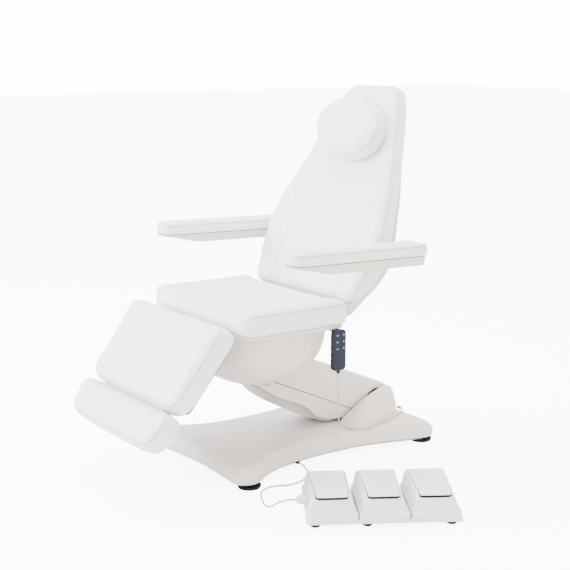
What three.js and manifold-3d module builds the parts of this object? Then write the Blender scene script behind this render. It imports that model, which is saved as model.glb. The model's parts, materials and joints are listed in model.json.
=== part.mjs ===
// Electric pedicure spa chair: dog-bone floor base, inclined lift arm, level seat with
// reclining backrest, two-part leg rest, swing-up armrests, wired handset and foot control.
// Millimetres, +Z up. The sitter faces -Y, the sitter's left is +X, the floor is Z = 0.

import * as THREE from 'three';
import { mergeVertices } from 'three/addons/utils/BufferGeometryUtils.js';
import { ConvexGeometry } from 'three/addons/geometries/ConvexGeometry.js';
import Module from 'manifold-3d';

const wasm = await Module();
wasm.setup();

// ---------------------------------------------------------------- driving sizes

const GAP = 0.4;                    // gap kept between pieces that touch or are cut to each other
const RUN = 0.5;                    // running clearance of a pivot, per side

const FOOT_X = 265;                 // feet, half spacing across
const FOOT_Y = 402;                 // feet, half spacing along
const FOOT_R = 42;
const FOOT_H = 9;

const BASE_WAIST = 212;             // half width of the base at its waist
const BASE_TIP = 306;               // half width of the base at its corners
const BASE_END = 452;               // half length of the base
const COVER_Z0 = 21;                // lower edge of the base covers
const COVER_Z1 = 74;                // top of the base covers
const COVER_EDGE = 9;               // rounding of the cover's top edge
const COVER_WALL = 3.5;
const SPLIT_SIDE_Y = 24;            // where the joint between the covers meets the side
const SPLIT_MID_Y = 152;            // where it crosses under the lift arm

const ARM_W = 85;                   // half width of the lift arm
const ARM_LEN = 570;                // pivot to pivot
const ARM_TILT = 23.4;              // lift arm above the horizontal at its lowest
const ARM_R0 = 84;                  // round end at the lower pivot
const ARM_R1 = 68;                  // round end at the upper pivot
const ARM_WALL = 3;
const CHEEK_GAP = 2.5;              // arm side to pivot cheek
const CHEEK_T = 7;
const SLOT_GAP = 3.5;               // pivot cheek to the housing around it
const SHAFT_R = 14;
const LOW_PIVOT = [330, 115];       // Y, Z of the lower pivot
const LINK_DROP = 52;               // parallel link below the main pivots

const SEAT_W = 315;                 // half width of the seat cushion
const SEAT_Y0 = -434;
const SEAT_Y1 = 3;
const SEAT_Z0 = 533;
const SEAT_T = 80;                  // seat cushion thickness
const SEAT_TILT = 1.2;              // seat drops to the rear
const LIP_W = 300;                  // trim lip under the seat, half width
const LIP_T = 15;
const BOWL_A = 262;                 // shroud half width, half length and depth
const BOWL_B = 238;
const BOWL_C = 226;
const BOWL_Y = -196;
const BOWL_WALL = 4;

const BACK_TILT = 25.1;             // backrest behind the vertical
const BACK_ROOT = [31, 618];        // Y, Z of the lower front edge of its cushion
const BACK_PIVOT = [45, 545];
const BACK_H = 792;                 // along the backrest, above its lower front edge
const BACK_W_LOW = 289;
const BACK_W_MAX = 327;
const BACK_W_TOP = 158;
const BACK_T = 55;                  // cushion thickness along its upper edges

const PILLOW_A = 173;               // half width
const PILLOW_B = 116;               // half height
const PILLOW_T = 74;
const PILLOW_U = 626;               // centre, along the backrest

const LEG_TILT = 38.3;              // leg rest ahead of the vertical
const LEG_PIVOT = [-455, 530];
const LEG_T = 74;                   // cushion thickness
const LEG_BOARD_T = 12;
const CALF_S0 = 6;                  // calf pad, from and to, along the leg rest
const CALF_S1 = 318;
const CALF_W = 300;
const CALF_W_END = 286;
const FOOTPAD_S0 = 328;
const FOOTPAD_S1 = 458;
const FOOTPAD_W = 286;

const REST_X = 402;                 // armrest centre line
const REST_W = 53;                  // armrest half width
const REST_Y0 = -340;
const REST_Y1 = 246;
const REST_Z = 826;                 // cushion top at the front end
const REST_T = 44;
const TRAY_T = 32;
const REST_TILT = 2.2;
const REST_PIVOT = [168, 746];      // Y, Z of the armrest pivots on the backrest sides
const REST_PIN_R = 9;

const HAND_W = 56;
const HAND_H = 146;
const HAND_T = 22;
const HAND_Y = -52;
const HAND_Z1 = 511;
const HAND_GAP = 3;                 // lip edge to the back of the handset
const KEY_W = 13;                    // handset keys
const KEY_H = 9;
const KEY_ROW = 24;                  // spacing of the rows and the columns
const KEY_COLUMN = 28;
const KEY_TOP = 17;                  // top of the handset to the first row
const CORD_R = 3;

const PEDAL_N = 3;
const PEDAL_PITCH = 165;            // foot control modules
const PEDAL_W = 160;
const PEDAL_D = 262;
const PEDAL_H = 97;                 // top of the pedal plates
const PEDAL_LIFT = 12;              // underside above the floor
const PLINTH_Z = 42;
const PLATE_FRONT = 50;             // half width of a pedal plate at its front
const PLATE_BACK = 58;              // and at its back
const PLATE_T = 10;
const PLATE_GAP = 1.5;              // round the plate in its well
const PEDAL_TRAVEL = 6;             // room under the front of the plate
const PEDAL_AT = [684.2, -179.8];
const PEDAL_TURN = 56.6;            // turn of the foot control on the floor
const PEDAL_FEET = [-55, -55, 48];  // feet of each module, across

// ---------------------------------------------------------------- materials

function material(color, roughness, metalness) {
  return () => new THREE.MeshStandardMaterial({ color, roughness, metalness });
}
const COVER = material(0xd9d3cf, 0.42, 0);
const BELLY = material(0x8f8782, 0.5, 0);
const LEATHER = material(0xf3f2ee, 0.45, 0);
const STEEL = material(0x2b2c2e, 0.5, 0.6);
const BRIGHT = material(0xb9bcc0, 0.3, 1);
const RUBBER = material(0x17181a, 0.8, 0);
const DARK = material(0x2d3642, 0.45, 0);
const KEYS = material(0x9aa4ad, 0.5, 0);
const GREY = material(0xd8dadb, 0.45, 0);
const WOOD = material(0xb08f63, 0.7, 0);
const LEAD = material(0xc9c8c6, 0.55, 0);

// ---------------------------------------------------------------- solids

function toSolid(geometry) {
  const bare = geometry.clone();
  bare.deleteAttribute('normal');
  bare.deleteAttribute('uv');
  const welded = mergeVertices(bare, 1e-3);
  return new wasm.Manifold(new wasm.Mesh({
    numProp: 3,
    vertProperties: new Float32Array(welded.attributes.position.array),
    triVerts: new Uint32Array(welded.index.array),
  }));
}

function toGeometry(solid) {
  const mesh = solid.getMesh();
  const geometry = new THREE.BufferGeometry();
  geometry.setAttribute('position', new THREE.BufferAttribute(new Float32Array(mesh.vertProperties), 3));
  geometry.setIndex(new THREE.BufferAttribute(new Uint32Array(mesh.triVerts), 1));
  const flat = geometry.toNonIndexed();
  flat.computeVertexNormals();
  return flat;
}

function join(...geometries) {
  return toGeometry(geometries.map(toSolid).reduce((a, b) => a.add(b)));
}

function cut(geometry, ...tools) {
  return toGeometry(tools.map(toSolid).reduce((a, b) => a.subtract(b), toSolid(geometry)));
}

function common(a, b) {
  return toGeometry(toSolid(a).intersect(toSolid(b)));
}

// a box given by its two corners
function block(x0, x1, y0, y1, z0, z1) {
  const geometry = new THREE.BoxGeometry(x1 - x0, y1 - y0, z1 - z0);
  geometry.translate((x0 + x1) / 2, (y0 + y1) / 2, (z0 + z1) / 2);
  return geometry;
}

// a round bar along X
function barX(r, x0, x1, y, z, sides = 14) {
  const geometry = new THREE.CylinderGeometry(r, r, x1 - x0, sides);
  geometry.rotateZ(Math.PI / 2);
  geometry.translate((x0 + x1) / 2, y, z);
  return geometry;
}

function barZ(r, z0, z1, x, y, sides = 14) {
  const geometry = new THREE.CylinderGeometry(r, r, z1 - z0, sides);
  geometry.rotateX(Math.PI / 2);
  geometry.translate(x, y, (z0 + z1) / 2);
  return geometry;
}

// an outline with its corners rounded; a point may carry its own radius,
// and no corner takes up more than its share of the sides beside it
function outline(points, radius = 0) {
  const shape = new THREE.Shape();
  const count = points.length;
  points.forEach((point, i) => {
    const here = new THREE.Vector2(point[0], point[1]);
    const before = new THREE.Vector2(...points[(i + count - 1) % count].slice(0, 2));
    const after = new THREE.Vector2(...points[(i + 1) % count].slice(0, 2));
    const room = 0.46 * Math.min(here.distanceTo(before), here.distanceTo(after));
    const r = Math.min(point[2] ?? radius, room);
    const a = here.clone().add(before.sub(here).setLength(r));
    const b = here.clone().add(after.sub(here).setLength(r));
    if (i === 0) shape.moveTo(a.x, a.y);
    else shape.lineTo(a.x, a.y);
    if (r > 0) shape.quadraticCurveTo(here.x, here.y, b.x, b.y);
  });
  shape.closePath();
  return shape;
}

function extrude(shape, depth, edge, curve) {
  return new THREE.ExtrudeGeometry(shape, {
    depth: depth - 2 * edge,
    bevelEnabled: edge > 0,
    bevelThickness: edge,
    bevelSize: edge,
    bevelOffset: -edge,
    bevelSegments: 2,
    curveSegments: curve,
  });
}

// a plan outline (X, Y) raised from z0 to z1
function slab(shape, z0, z1, edge = 0, curve = 3) {
  const geometry = extrude(shape, z1 - z0, edge, curve);
  geometry.translate(0, 0, z0 + edge);
  return geometry;
}

// a side outline (Y, Z) carried across from x0 to x1
function profile(shape, x0, x1, edge = 0, curve = 3) {
  const geometry = extrude(shape, x1 - x0, edge, curve);
  geometry.translate(0, 0, x0 + edge);
  const across = new THREE.Vector3(1, 0, 0);
  const along = new THREE.Vector3(0, 1, 0);
  const up = new THREE.Vector3(0, 0, 1);
  geometry.applyMatrix4(new THREE.Matrix4().makeBasis(along, up, across));
  return geometry;
}

// a front outline (X, Z) carried from y0 to y1
function panel(shape, y0, y1, edge = 0, curve = 3) {
  const geometry = extrude(shape, y1 - y0, edge, curve);
  geometry.rotateX(Math.PI / 2);
  geometry.translate(0, y1 - edge, 0);
  return geometry;
}

// right half of an outline mirrored to the left
function mirrored(points) {
  const left = points.map(([x, y, ...r]) => [-x, y, ...r]).reverse();
  return [...points, ...left];
}

// a round cord along a smooth line
function cordAlong(points, r, steps, sides) {
  const path = new THREE.CatmullRomCurve3(points.map((p) => new THREE.Vector3(...p)), false, 'centripetal');
  const ring = new THREE.Shape();
  for (let i = 0; i < sides; i += 1) {
    const a = (2 * Math.PI * i) / sides;
    if (i === 0) ring.moveTo(r, 0);
    else ring.lineTo(r * Math.cos(a), r * Math.sin(a));
  }
  ring.closePath();
  return new THREE.ExtrudeGeometry(ring, { steps, extrudePath: path, bevelEnabled: false, curveSegments: 1 });
}

const group = new THREE.Group();

function place(parent, name, look, geometry) {
  const mesh = new THREE.Mesh(geometry, look());
  mesh.name = name;
  parent.add(mesh);
  return mesh;
}

function tilted(parent, y, z, degrees) {
  const frame = new THREE.Group();
  frame.position.set(0, y, z);
  frame.rotation.x = THREE.MathUtils.degToRad(degrees);
  parent.add(frame);
  return frame;
}

// ---------------------------------------------------------------- pivots of the lift

const SIN_ARM = Math.sin(THREE.MathUtils.degToRad(ARM_TILT));
const COS_ARM = Math.cos(THREE.MathUtils.degToRad(ARM_TILT));
const HIGH_PIVOT = [LOW_PIVOT[0] - ARM_LEN * COS_ARM, LOW_PIVOT[1] + ARM_LEN * SIN_ARM];
const CHEEK_X0 = ARM_W + CHEEK_GAP;
const CHEEK_X1 = CHEEK_X0 + CHEEK_T;
const SLOT_X = CHEEK_X1 + SLOT_GAP;
const LINK_X0 = 46;
const LINK_X1 = 54;
const LINK_PIN_R = 8;
const WINDOW_R = LINK_DROP + LINK_PIN_R + 2;

// ---------------------------------------------------------------- base

const BASE_PLAN = [
  [0, -BASE_END + 12, 60],
  [BASE_TIP - 26, -BASE_END - 10, 36],
  [BASE_TIP + 4, -BASE_END + 48, 26],
  [BASE_WAIST + 14, -BASE_END + 186, 70],
  [BASE_WAIST - 6, -60, 60],
  [BASE_WAIST + 10, BASE_END - 292, 80],
  [BASE_TIP + 4, BASE_END - 44, 30],
  [BASE_TIP - 16, BASE_END, 18],
];

function basePlan(inset) {
  const fx = (BASE_WAIST - inset) / BASE_WAIST;
  const fy = (BASE_END - inset) / BASE_END;
  const points = BASE_PLAN.map(([x, y, r]) => [x * fx, y * fy, r]);
  const half = [...points, [0, BASE_END * fy, 40]];
  const left = half.slice(1, -1).map(([x, y, r]) => [-x, y, r]).reverse();
  return outline([...half, ...left]);
}

// fairing over the lower pivot: its foot on the cover, its ridge beside the slot
const HUMP_FOOT = [[98, 150], [158, 132], [192, 143], [202, 180], [186, 270], [156, 368], [120, 406], [98, 428]];
const HUMP_RIDGE = [[150, 75], [199, 116], [272, 157], [330, 177], [384, 184], [413, 152], [428, 100]];

function humpHull(inset) {
  const points = [];
  const shrink = 1 - inset / 100;
  const put = (x, y, z) => {
    const px = x - Math.sign(x) * inset;
    const py = 290 + (y - 290) * shrink;
    points.push(new THREE.Vector3(px, py, z - inset));
  };
  for (const side of [-1, 1]) {
    for (const [x, y] of HUMP_FOOT) {
      put(side * x, y, COVER_Z1);
      put(side * x, y, COVER_Z1 - 20);
    }
    for (const [y, z] of HUMP_RIDGE) put(side * SLOT_X, y, z);
  }
  return new ConvexGeometry(points);
}

function baseCovers() {
  const whole = slab(basePlan(0), COVER_Z0, COVER_Z1, COVER_EDGE);
  const hollow = slab(basePlan(COVER_WALL), COVER_Z0 - 10, COVER_Z1 - COVER_WALL, COVER_EDGE);
  const far = BASE_TIP + 100;
  const line = [
    [-far, SPLIT_SIDE_Y], [-BASE_WAIST, SPLIT_SIDE_Y], [-SLOT_X + 6, SPLIT_MID_Y],
    [SLOT_X - 6, SPLIT_MID_Y], [BASE_WAIST, SPLIT_SIDE_Y], [far, SPLIT_SIDE_Y],
  ];
  const front = [...line.map(([x, y]) => [x, y - GAP]), [far, -far * 2], [-far, -far * 2]];
  const rear = [...line, [far, far * 2], [-far, far * 2]];
  const frontZone = slab(outline(front), -10, 300);
  const rearZone = slab(outline(rear), -10, 300);
  const shell = cut(whole, hollow);
  const pocket = cut(humpHull(COVER_WALL), block(-SLOT_X - 4, SLOT_X + 4, 0, 600, 0, 300));
  const slot = block(-SLOT_X, SLOT_X, SPLIT_MID_Y - 20, LOW_PIVOT[0] + ARM_R0 + 4, COVER_Z0 - 10, 300);
  const socket = block(-150 - GAP, -102 + GAP, BASE_END - 40, BASE_END + 10, 32 - GAP, 60 + GAP);
  const rearShell = cut(join(common(whole, rearZone), common(humpHull(0), rearZone)), hollow, pocket, slot, socket);
  const actuatorDoor = block(-38, 38, ACT_FOOT[0] - 90, SPLIT_MID_Y + 10, COVER_Z1 - 20, COVER_Z1 + 10);
  place(group, 'base_front_cover', COVER, cut(common(shell, frontZone), actuatorDoor));
  place(group, 'base_rear_cover', COVER, rearShell);
}

function pivotCheek(x0, x1, y, z, r, footZ, footHalf) {
  const points = [[y - footHalf, footZ], [y + footHalf, footZ], [y + r, z], [y + r, z + r, r], [y - r, z + r, r], [y - r, z]];
  return profile(outline(points), x0, x1);
}

function baseFrame() {
  const plateZ1 = COVER_Z0 - 1;
  const plate = slab(basePlan(16), FOOT_H + GAP, plateZ1, 0, 3);
  const parts = [plate];
  const [py, pz] = LOW_PIVOT;
  for (const side of [-1, 1]) {
    const x0 = side > 0 ? CHEEK_X0 : -CHEEK_X1;
    parts.push(pivotCheek(x0, x0 + CHEEK_T, py, pz, 26, plateZ1 - 2, 62));
  }
  parts.push(barX(LINK_PIN_R, LINK_X0 - 4, CHEEK_X0 + 2, py, pz - LINK_DROP));
  for (const side of [-1, 1]) {
    const x0 = side > 0 ? 22 : -30;
    parts.push(pivotCheek(x0, x0 + 8, ACT_FOOT[0], ACT_FOOT[1], 12, plateZ1 - 2, 20));
  }
  parts.push(barX(7, -24, 24, ACT_FOOT[0], ACT_FOOT[1]));
  const well = block(-40, 40, py - 60, py + 60, -10, plateZ1 + 8);
  return cut(join(...parts), barX(SHAFT_R + GAP, -200, 200, py, pz), well);
}

const ACT_FOOT = [150, 48];
const ACT_HEAD = [-127, 243];

function feet() {
  for (const [row, y] of [['front', -FOOT_Y], ['rear', FOOT_Y]]) {
    for (const [side, x] of [['left', FOOT_X], ['right', -FOOT_X]]) {
      const ring = new THREE.CylinderGeometry(FOOT_R, FOOT_R - 3, FOOT_H, 24);
      ring.rotateX(Math.PI / 2);
      ring.translate(x, y, FOOT_H / 2);
      place(group, `foot_${row}_${side}`, RUBBER, ring);
    }
  }
}

function baseFittings() {
  const [py, pz] = LOW_PIVOT;
  const end = CHEEK_X1 + 2;
  place(group, 'lower_pivot_shaft', BRIGHT, barX(SHAFT_R, -end, end, py, pz));
  place(group, 'lift_control_box', GREY, block(-170, -50, -220, -20, COVER_Z0 + GAP, 62));
  const inlet = cut(block(-150, -102, BASE_END - 26, BASE_END - 1, 32, 60), block(-144, -108, BASE_END - 16, BASE_END + 5, 38, 54));
  place(group, 'mains_inlet', RUBBER, inlet);
  const gland = barX(7, 0, 16, -150, FOOT_H + 5.8);
  gland.translate(PEDAL_GLAND_X, 0, 0);
  place(group, 'foot_control_gland', RUBBER, gland);
}

const PEDAL_GLAND_X = 200;

// ---------------------------------------------------------------- lift arm

// side outlines in the arm's own frame: Y runs from the upper pivot to the lower one,
// the lower pivot is the origin and Z is square to the arm
function ring(y, r, from, to, steps) {
  const points = [];
  for (let i = 0; i <= steps; i += 1) {
    const a = THREE.MathUtils.degToRad(from + ((to - from) * i) / steps);
    points.push([y + r * Math.cos(a), r * Math.sin(a), 0]);
  }
  return points;
}

const SEAM_LOW = -54;
const SEAM_HIGH = -34;
const SEAM_Y0 = 66;
const SEAM_Y1 = -ARM_LEN - 58;

function armOuter(shrink) {
  const low = ring(0, ARM_R0 - shrink, -90, 90, 12);
  const high = ring(-ARM_LEN, ARM_R1 - shrink, 120, 270, 10);
  const under = [
    [-500, -92 + shrink, 30], [-480, -88 + shrink, 20], [-370, -86 + shrink, 30],
    [-315, -96 + shrink, 30], [-272, -117 + shrink, 20], [-200, -113 + shrink, 30], [-126, -86 + shrink, 30],
  ];
  return outline([...low, [-430, ARM_R0 - shrink, 60], ...high, ...under]);
}

function lowerZone(offset) {
  return outline([[140, SEAM_LOW - 10 + offset], [140, -260], [-760, -260], [SEAM_Y1 - 60, SEAM_HIGH + offset]]);
}

function upperZone() {
  return outline([[140, SEAM_LOW - 10], [SEAM_Y1 - 60, SEAM_HIGH], [-760, 200], [140, 200]]);
}

function liftArm() {
  const frame = tilted(group, LOW_PIVOT[0], LOW_PIVOT[1], -ARM_TILT);
  const outer = profile(armOuter(0), -ARM_W, ARM_W);
  const inner = profile(armOuter(ARM_WALL), -ARM_W + ARM_WALL, ARM_W - ARM_WALL);
  const windows = [0, -ARM_LEN].map((y) => barX(WINDOW_R, -200, 200, y, 0, 24));
  const belowDoor = block(-60, 60, -520, -30, -200, -60);
  const skin = cut(outer, inner, ...windows);
  const top = common(skin, profile(upperZone(), -120, 120));
  const low = cut(common(skin, profile(lowerZone(-GAP), -120, 120)), belowDoor);
  place(frame, 'arm_top_cover', COVER, top);
  place(frame, 'arm_side_cover', COVER, low);

  const bellyLine = [[-568, -76, 6], [-498, -107, 30], [-406, -124, 40], [-293, -130, 30], [-200, -124, 20], [-176, -117, 6]];
  const bellyTop = [[-200, -76, 4], [-560, -66, 4]];
  const bellyOuter = profile(outline([...bellyLine, ...bellyTop]), -70, 70);
  const bellyWell = profile(outline([[-600, -60], [-575, -69], [-500, -100], [-400, -117], [-290, -122], [-150, -110], [-150, -40]]), -64, 64);
  const bellyDoor = block(-34, 34, -480, -100, -160, -60);
  const belly = cut(bellyOuter, bellyWell, bellyDoor, inflatedSide(inner));
  place(frame, 'arm_belly_cover', BELLY, belly);

  const beam = block(-36, 36, -ARM_LEN, 0, -26, 44);
  const beamHollow = block(-30, 30, -ARM_LEN + 40, -40, -20, 38);
  const sleeves = [barX(27, -40, 40, 0, 0), barX(27, -40, 40, -ARM_LEN, 0)];
  const bores = [barX(SHAFT_R + RUN, -60, 60, 0, 0), barX(SHAFT_R + GAP, -60, 60, -ARM_LEN, 0)];
  const ears = [block(-30, -22, ACT_LOCAL_Y - 16, ACT_LOCAL_Y + 16, ACT_LOCAL_Z - 14, -20),
    block(22, 30, ACT_LOCAL_Y - 16, ACT_LOCAL_Y + 16, ACT_LOCAL_Z - 14, -20),
    barX(6, -26, 26, ACT_LOCAL_Y, ACT_LOCAL_Z, 12)];
  const drain = block(-10, 10, -300, -260, 30, 60);
  const beamRing = cut(join(beam, ...sleeves), beamHollow, drain, ...bores);
  place(frame, 'arm_frame', STEEL, join(beamRing, ...ears));
  const end = CHEEK_X1 + 2;
  place(frame, 'upper_pivot_shaft', BRIGHT, barX(SHAFT_R, -end, end, -ARM_LEN, 0));
}

// room kept around the side covers for the belly cover
function inflatedSide() {
  return profile(armOuter(-GAP), -ARM_W - GAP, ARM_W + GAP);
}

const ACT_LOCAL_Y = (ACT_HEAD[0] - LOW_PIVOT[0]) * COS_ARM - (ACT_HEAD[1] - LOW_PIVOT[1]) * SIN_ARM;
const ACT_LOCAL_Z = (ACT_HEAD[0] - LOW_PIVOT[0]) * SIN_ARM + (ACT_HEAD[1] - LOW_PIVOT[1]) * COS_ARM;

function parallelLink() {
  const frame = tilted(group, LOW_PIVOT[0], LOW_PIVOT[1] - LINK_DROP, -ARM_TILT);
  const bar = block(LINK_X0, LINK_X1, -ARM_LEN, 0, -9, 9);
  const eyes = [barX(15, LINK_X0, LINK_X1, 0, 0, 20), barX(15, LINK_X0, LINK_X1, -ARM_LEN, 0, 20)];
  const holes = [barX(LINK_PIN_R + RUN, 0, 100, 0, 0), barX(LINK_PIN_R + 2, 0, 100, -ARM_LEN, 0)];
  place(frame, 'parallel_link', STEEL, cut(join(bar, ...eyes), ...holes));
}

function liftActuator() {
  const dy = ACT_HEAD[0] - ACT_FOOT[0];
  const dz = ACT_HEAD[1] - ACT_FOOT[1];
  const length = Math.hypot(dy, dz);
  const angle = THREE.MathUtils.radToDeg(Math.atan2(dy, dz));
  const frame = tilted(group, ACT_FOOT[0], ACT_FOOT[1], -angle);
  const body = barZ(19, 22, length - 92, 0, 0, 20);
  const foot = block(-14, 14, -10, 10, -11, 30);
  const bore = barZ(9.5, 60, length, 0, 0);
  const footHole = barX(7 + RUN, -60, 60, 0, 0);
  place(frame, 'lift_actuator_body', STEEL, cut(join(body, foot), bore, footHole));
  const rod = barZ(8, 180, length - 20, 0, 0);
  const head = barX(25, -9, 9, 0, length, 24);
  const eye = barX(18, -60, 60, 0, length, 24);
  place(frame, 'lift_actuator_rod', BRIGHT, cut(join(rod, head), eye));
}

// ---------------------------------------------------------------- seat

function bowl(shrink) {
  const geometry = new THREE.SphereGeometry(1, 24, 14);
  geometry.rotateX(Math.PI / 2);
  const position = geometry.attributes.position;
  const square = 2.3;
  for (let i = 0; i < position.count; i += 1) {
    const v = new THREE.Vector3().fromBufferAttribute(position, i);
    const norm = (Math.abs(v.x) ** square + Math.abs(v.y) ** square + Math.abs(v.z) ** square) ** (1 / square);
    v.divideScalar(norm);
    position.setXYZ(i, v.x * (BOWL_A - shrink), v.y * (BOWL_B - shrink), v.z * (BOWL_C - shrink));
  }
  geometry.translate(0, BOWL_Y, BOWL_Z);
  return geometry;
}

const TILT_RISE = Math.tan(THREE.MathUtils.degToRad(SEAT_TILT));
const BOWL_Z = SEAT_Z0 - LIP_T - 4;
const RAIL_Z1 = SEAT_Z0 - LIP_T - (SEAT_Y1 + 6 - SEAT_Y0) * TILT_RISE - 2;

// underside of the trim lip at a given Y
function lipUnder(y) {
  return SEAT_Z0 - LIP_T - (y - SEAT_Y0) * TILT_RISE - 2 * GAP;
}

function seatShroud() {
  const lid = block(-400, 400, -200, 800, -LIP_T - 2 * GAP, 300);
  lid.rotateX(-THREE.MathUtils.degToRad(SEAT_TILT));
  lid.translate(0, SEAT_Y0, SEAT_Z0);
  const notches = [-172, 148].map((x0) => block(x0, x0 + 24, -470, 80, RAIL_Z1 - 23, 600));
  const slotSide = outline([[-272, 200], [-272, 345], [-110, 430], [-9, 364], [280, 238], [280, 180]]);
  const slot = profile(slotSide, -SLOT_X, SLOT_X);
  place(group, 'seat_shroud', COVER, cut(bowl(0), bowl(BOWL_WALL), lid, slot, ...notches));
}

function rounded(w0, w1, y0, y1, r) {
  return outline([[w0, y0, r], [w1, y1, r], [-w1, y1, r], [-w0, y0, r]]);
}

function seat() {
  const frame = tilted(group, SEAT_Y0, SEAT_Z0, -SEAT_TILT);
  const length = SEAT_Y1 - SEAT_Y0;
  const cushion = slab(rounded(SEAT_W, SEAT_W, 0, length, 34), 0, SEAT_T, 12);
  const boardW = SEAT_W - 26;
  const pocket = slab(rounded(boardW + 1, boardW + 1, 25, length - 25, 20), -5, 13 + GAP);
  const board = slab(rounded(boardW, boardW, 26, length - 26, 20), 0, 13);
  const lip = slab(rounded(LIP_W, LIP_W, 16, length + 4, 56), -LIP_T - GAP, -GAP, 3);
  const window = slab(rounded(LIP_W - 70, LIP_W - 70, 70, length - 60, 40), -40, 20);
  place(frame, 'seat_cushion', LEATHER, cut(cushion, pocket));
  place(frame, 'seat_board', WOOD, board);
  place(frame, 'seat_lip', COVER, cut(lip, window));
}

function seatFrame() {
  const [uy, uz] = HIGH_PIVOT;
  const top = RAIL_Z1;
  const parts = [];
  for (const side of [-1, 1]) {
    const x0 = side > 0 ? CHEEK_X0 : -CHEEK_X1;
    const points = [[uy - 30, top - 6], [uy - 26, uz], [uy - 26, uz - 26, 24], [uy + 26, uz - 26, 24], [uy + 26, uz], [uy + 30, top - 6]];
    parts.push(profile(outline(points), x0, x0 + CHEEK_T));
    const r0 = side > 0 ? 150 : -170;
    parts.push(block(r0, r0 + 20, -405, 8, top - 20, top));
    const legLug = [[-408, top - 20], [LEG_PIVOT[0] - 14, LEG_PIVOT[1] - 14, 12], [LEG_PIVOT[0] - 14, LEG_PIVOT[1] + 14, 12],
      [LEG_PIVOT[0] + 14, LEG_PIVOT[1] + 14, 12], [LEG_PIVOT[0] + 12, top], [-400, top]];
    parts.push(profile(outline(legLug), r0 + 2, r0 + 18));
    const backLug = [[2, top - 20], [BACK_PIVOT[0] + 6, top - 20], [BACK_PIVOT[0] + 14, BACK_PIVOT[1] - 8, 4],
      [BACK_PIVOT[0] + 14, BACK_PIVOT[1] + 14, 12], [BACK_PIVOT[0] - 14, BACK_PIVOT[1] + 14, 12], [BACK_PIVOT[0] - 14, top], [2, top]];
    parts.push(profile(outline(backLug), r0 + 2, r0 + 18));
  }
  parts.push(block(-170, 170, uy - 50, uy + 50, top - 12, top));
  parts.push(block(-170, 170, -370, -346, top - 18, top));
  parts.push(block(-170, 170, -42, -18, top - 18, top));
  parts.push(barX(LINK_PIN_R, LINK_X0 - 4, CHEEK_X0 + 2, uy, uz - LINK_DROP));
  const hanger = profile(outline([[uy - 10, uz - LINK_DROP - 9, 8], [uy + 10, uz - LINK_DROP - 9, 8], [uy + 14, uz], [uy - 14, uz]]), CHEEK_X0, CHEEK_X1);
  parts.push(hanger);
  const holes = [barX(SHAFT_R + GAP, -200, 200, uy, uz), barX(9 + GAP, -300, 300, ...LEG_PIVOT), barX(9 + GAP, -300, 300, ...BACK_PIVOT)];
  place(group, 'seat_frame', STEEL, cut(join(...parts), ...holes));
}

// ---------------------------------------------------------------- backrest

function backPlan(inset) {
  const w = (x) => x - inset;
  return outline(mirrored([
    [w(BACK_W_LOW) - 6, -90, 20], [w(BACK_W_LOW), 4, 40], [w(BACK_W_MAX) - 13, 110, 60], [w(BACK_W_MAX) + 3, 226, 60],
    [w(BACK_W_TOP) + 3, 745 - inset, 90], [w(BACK_W_TOP) - 44, BACK_H - inset, 60],
  ]));
}

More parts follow.
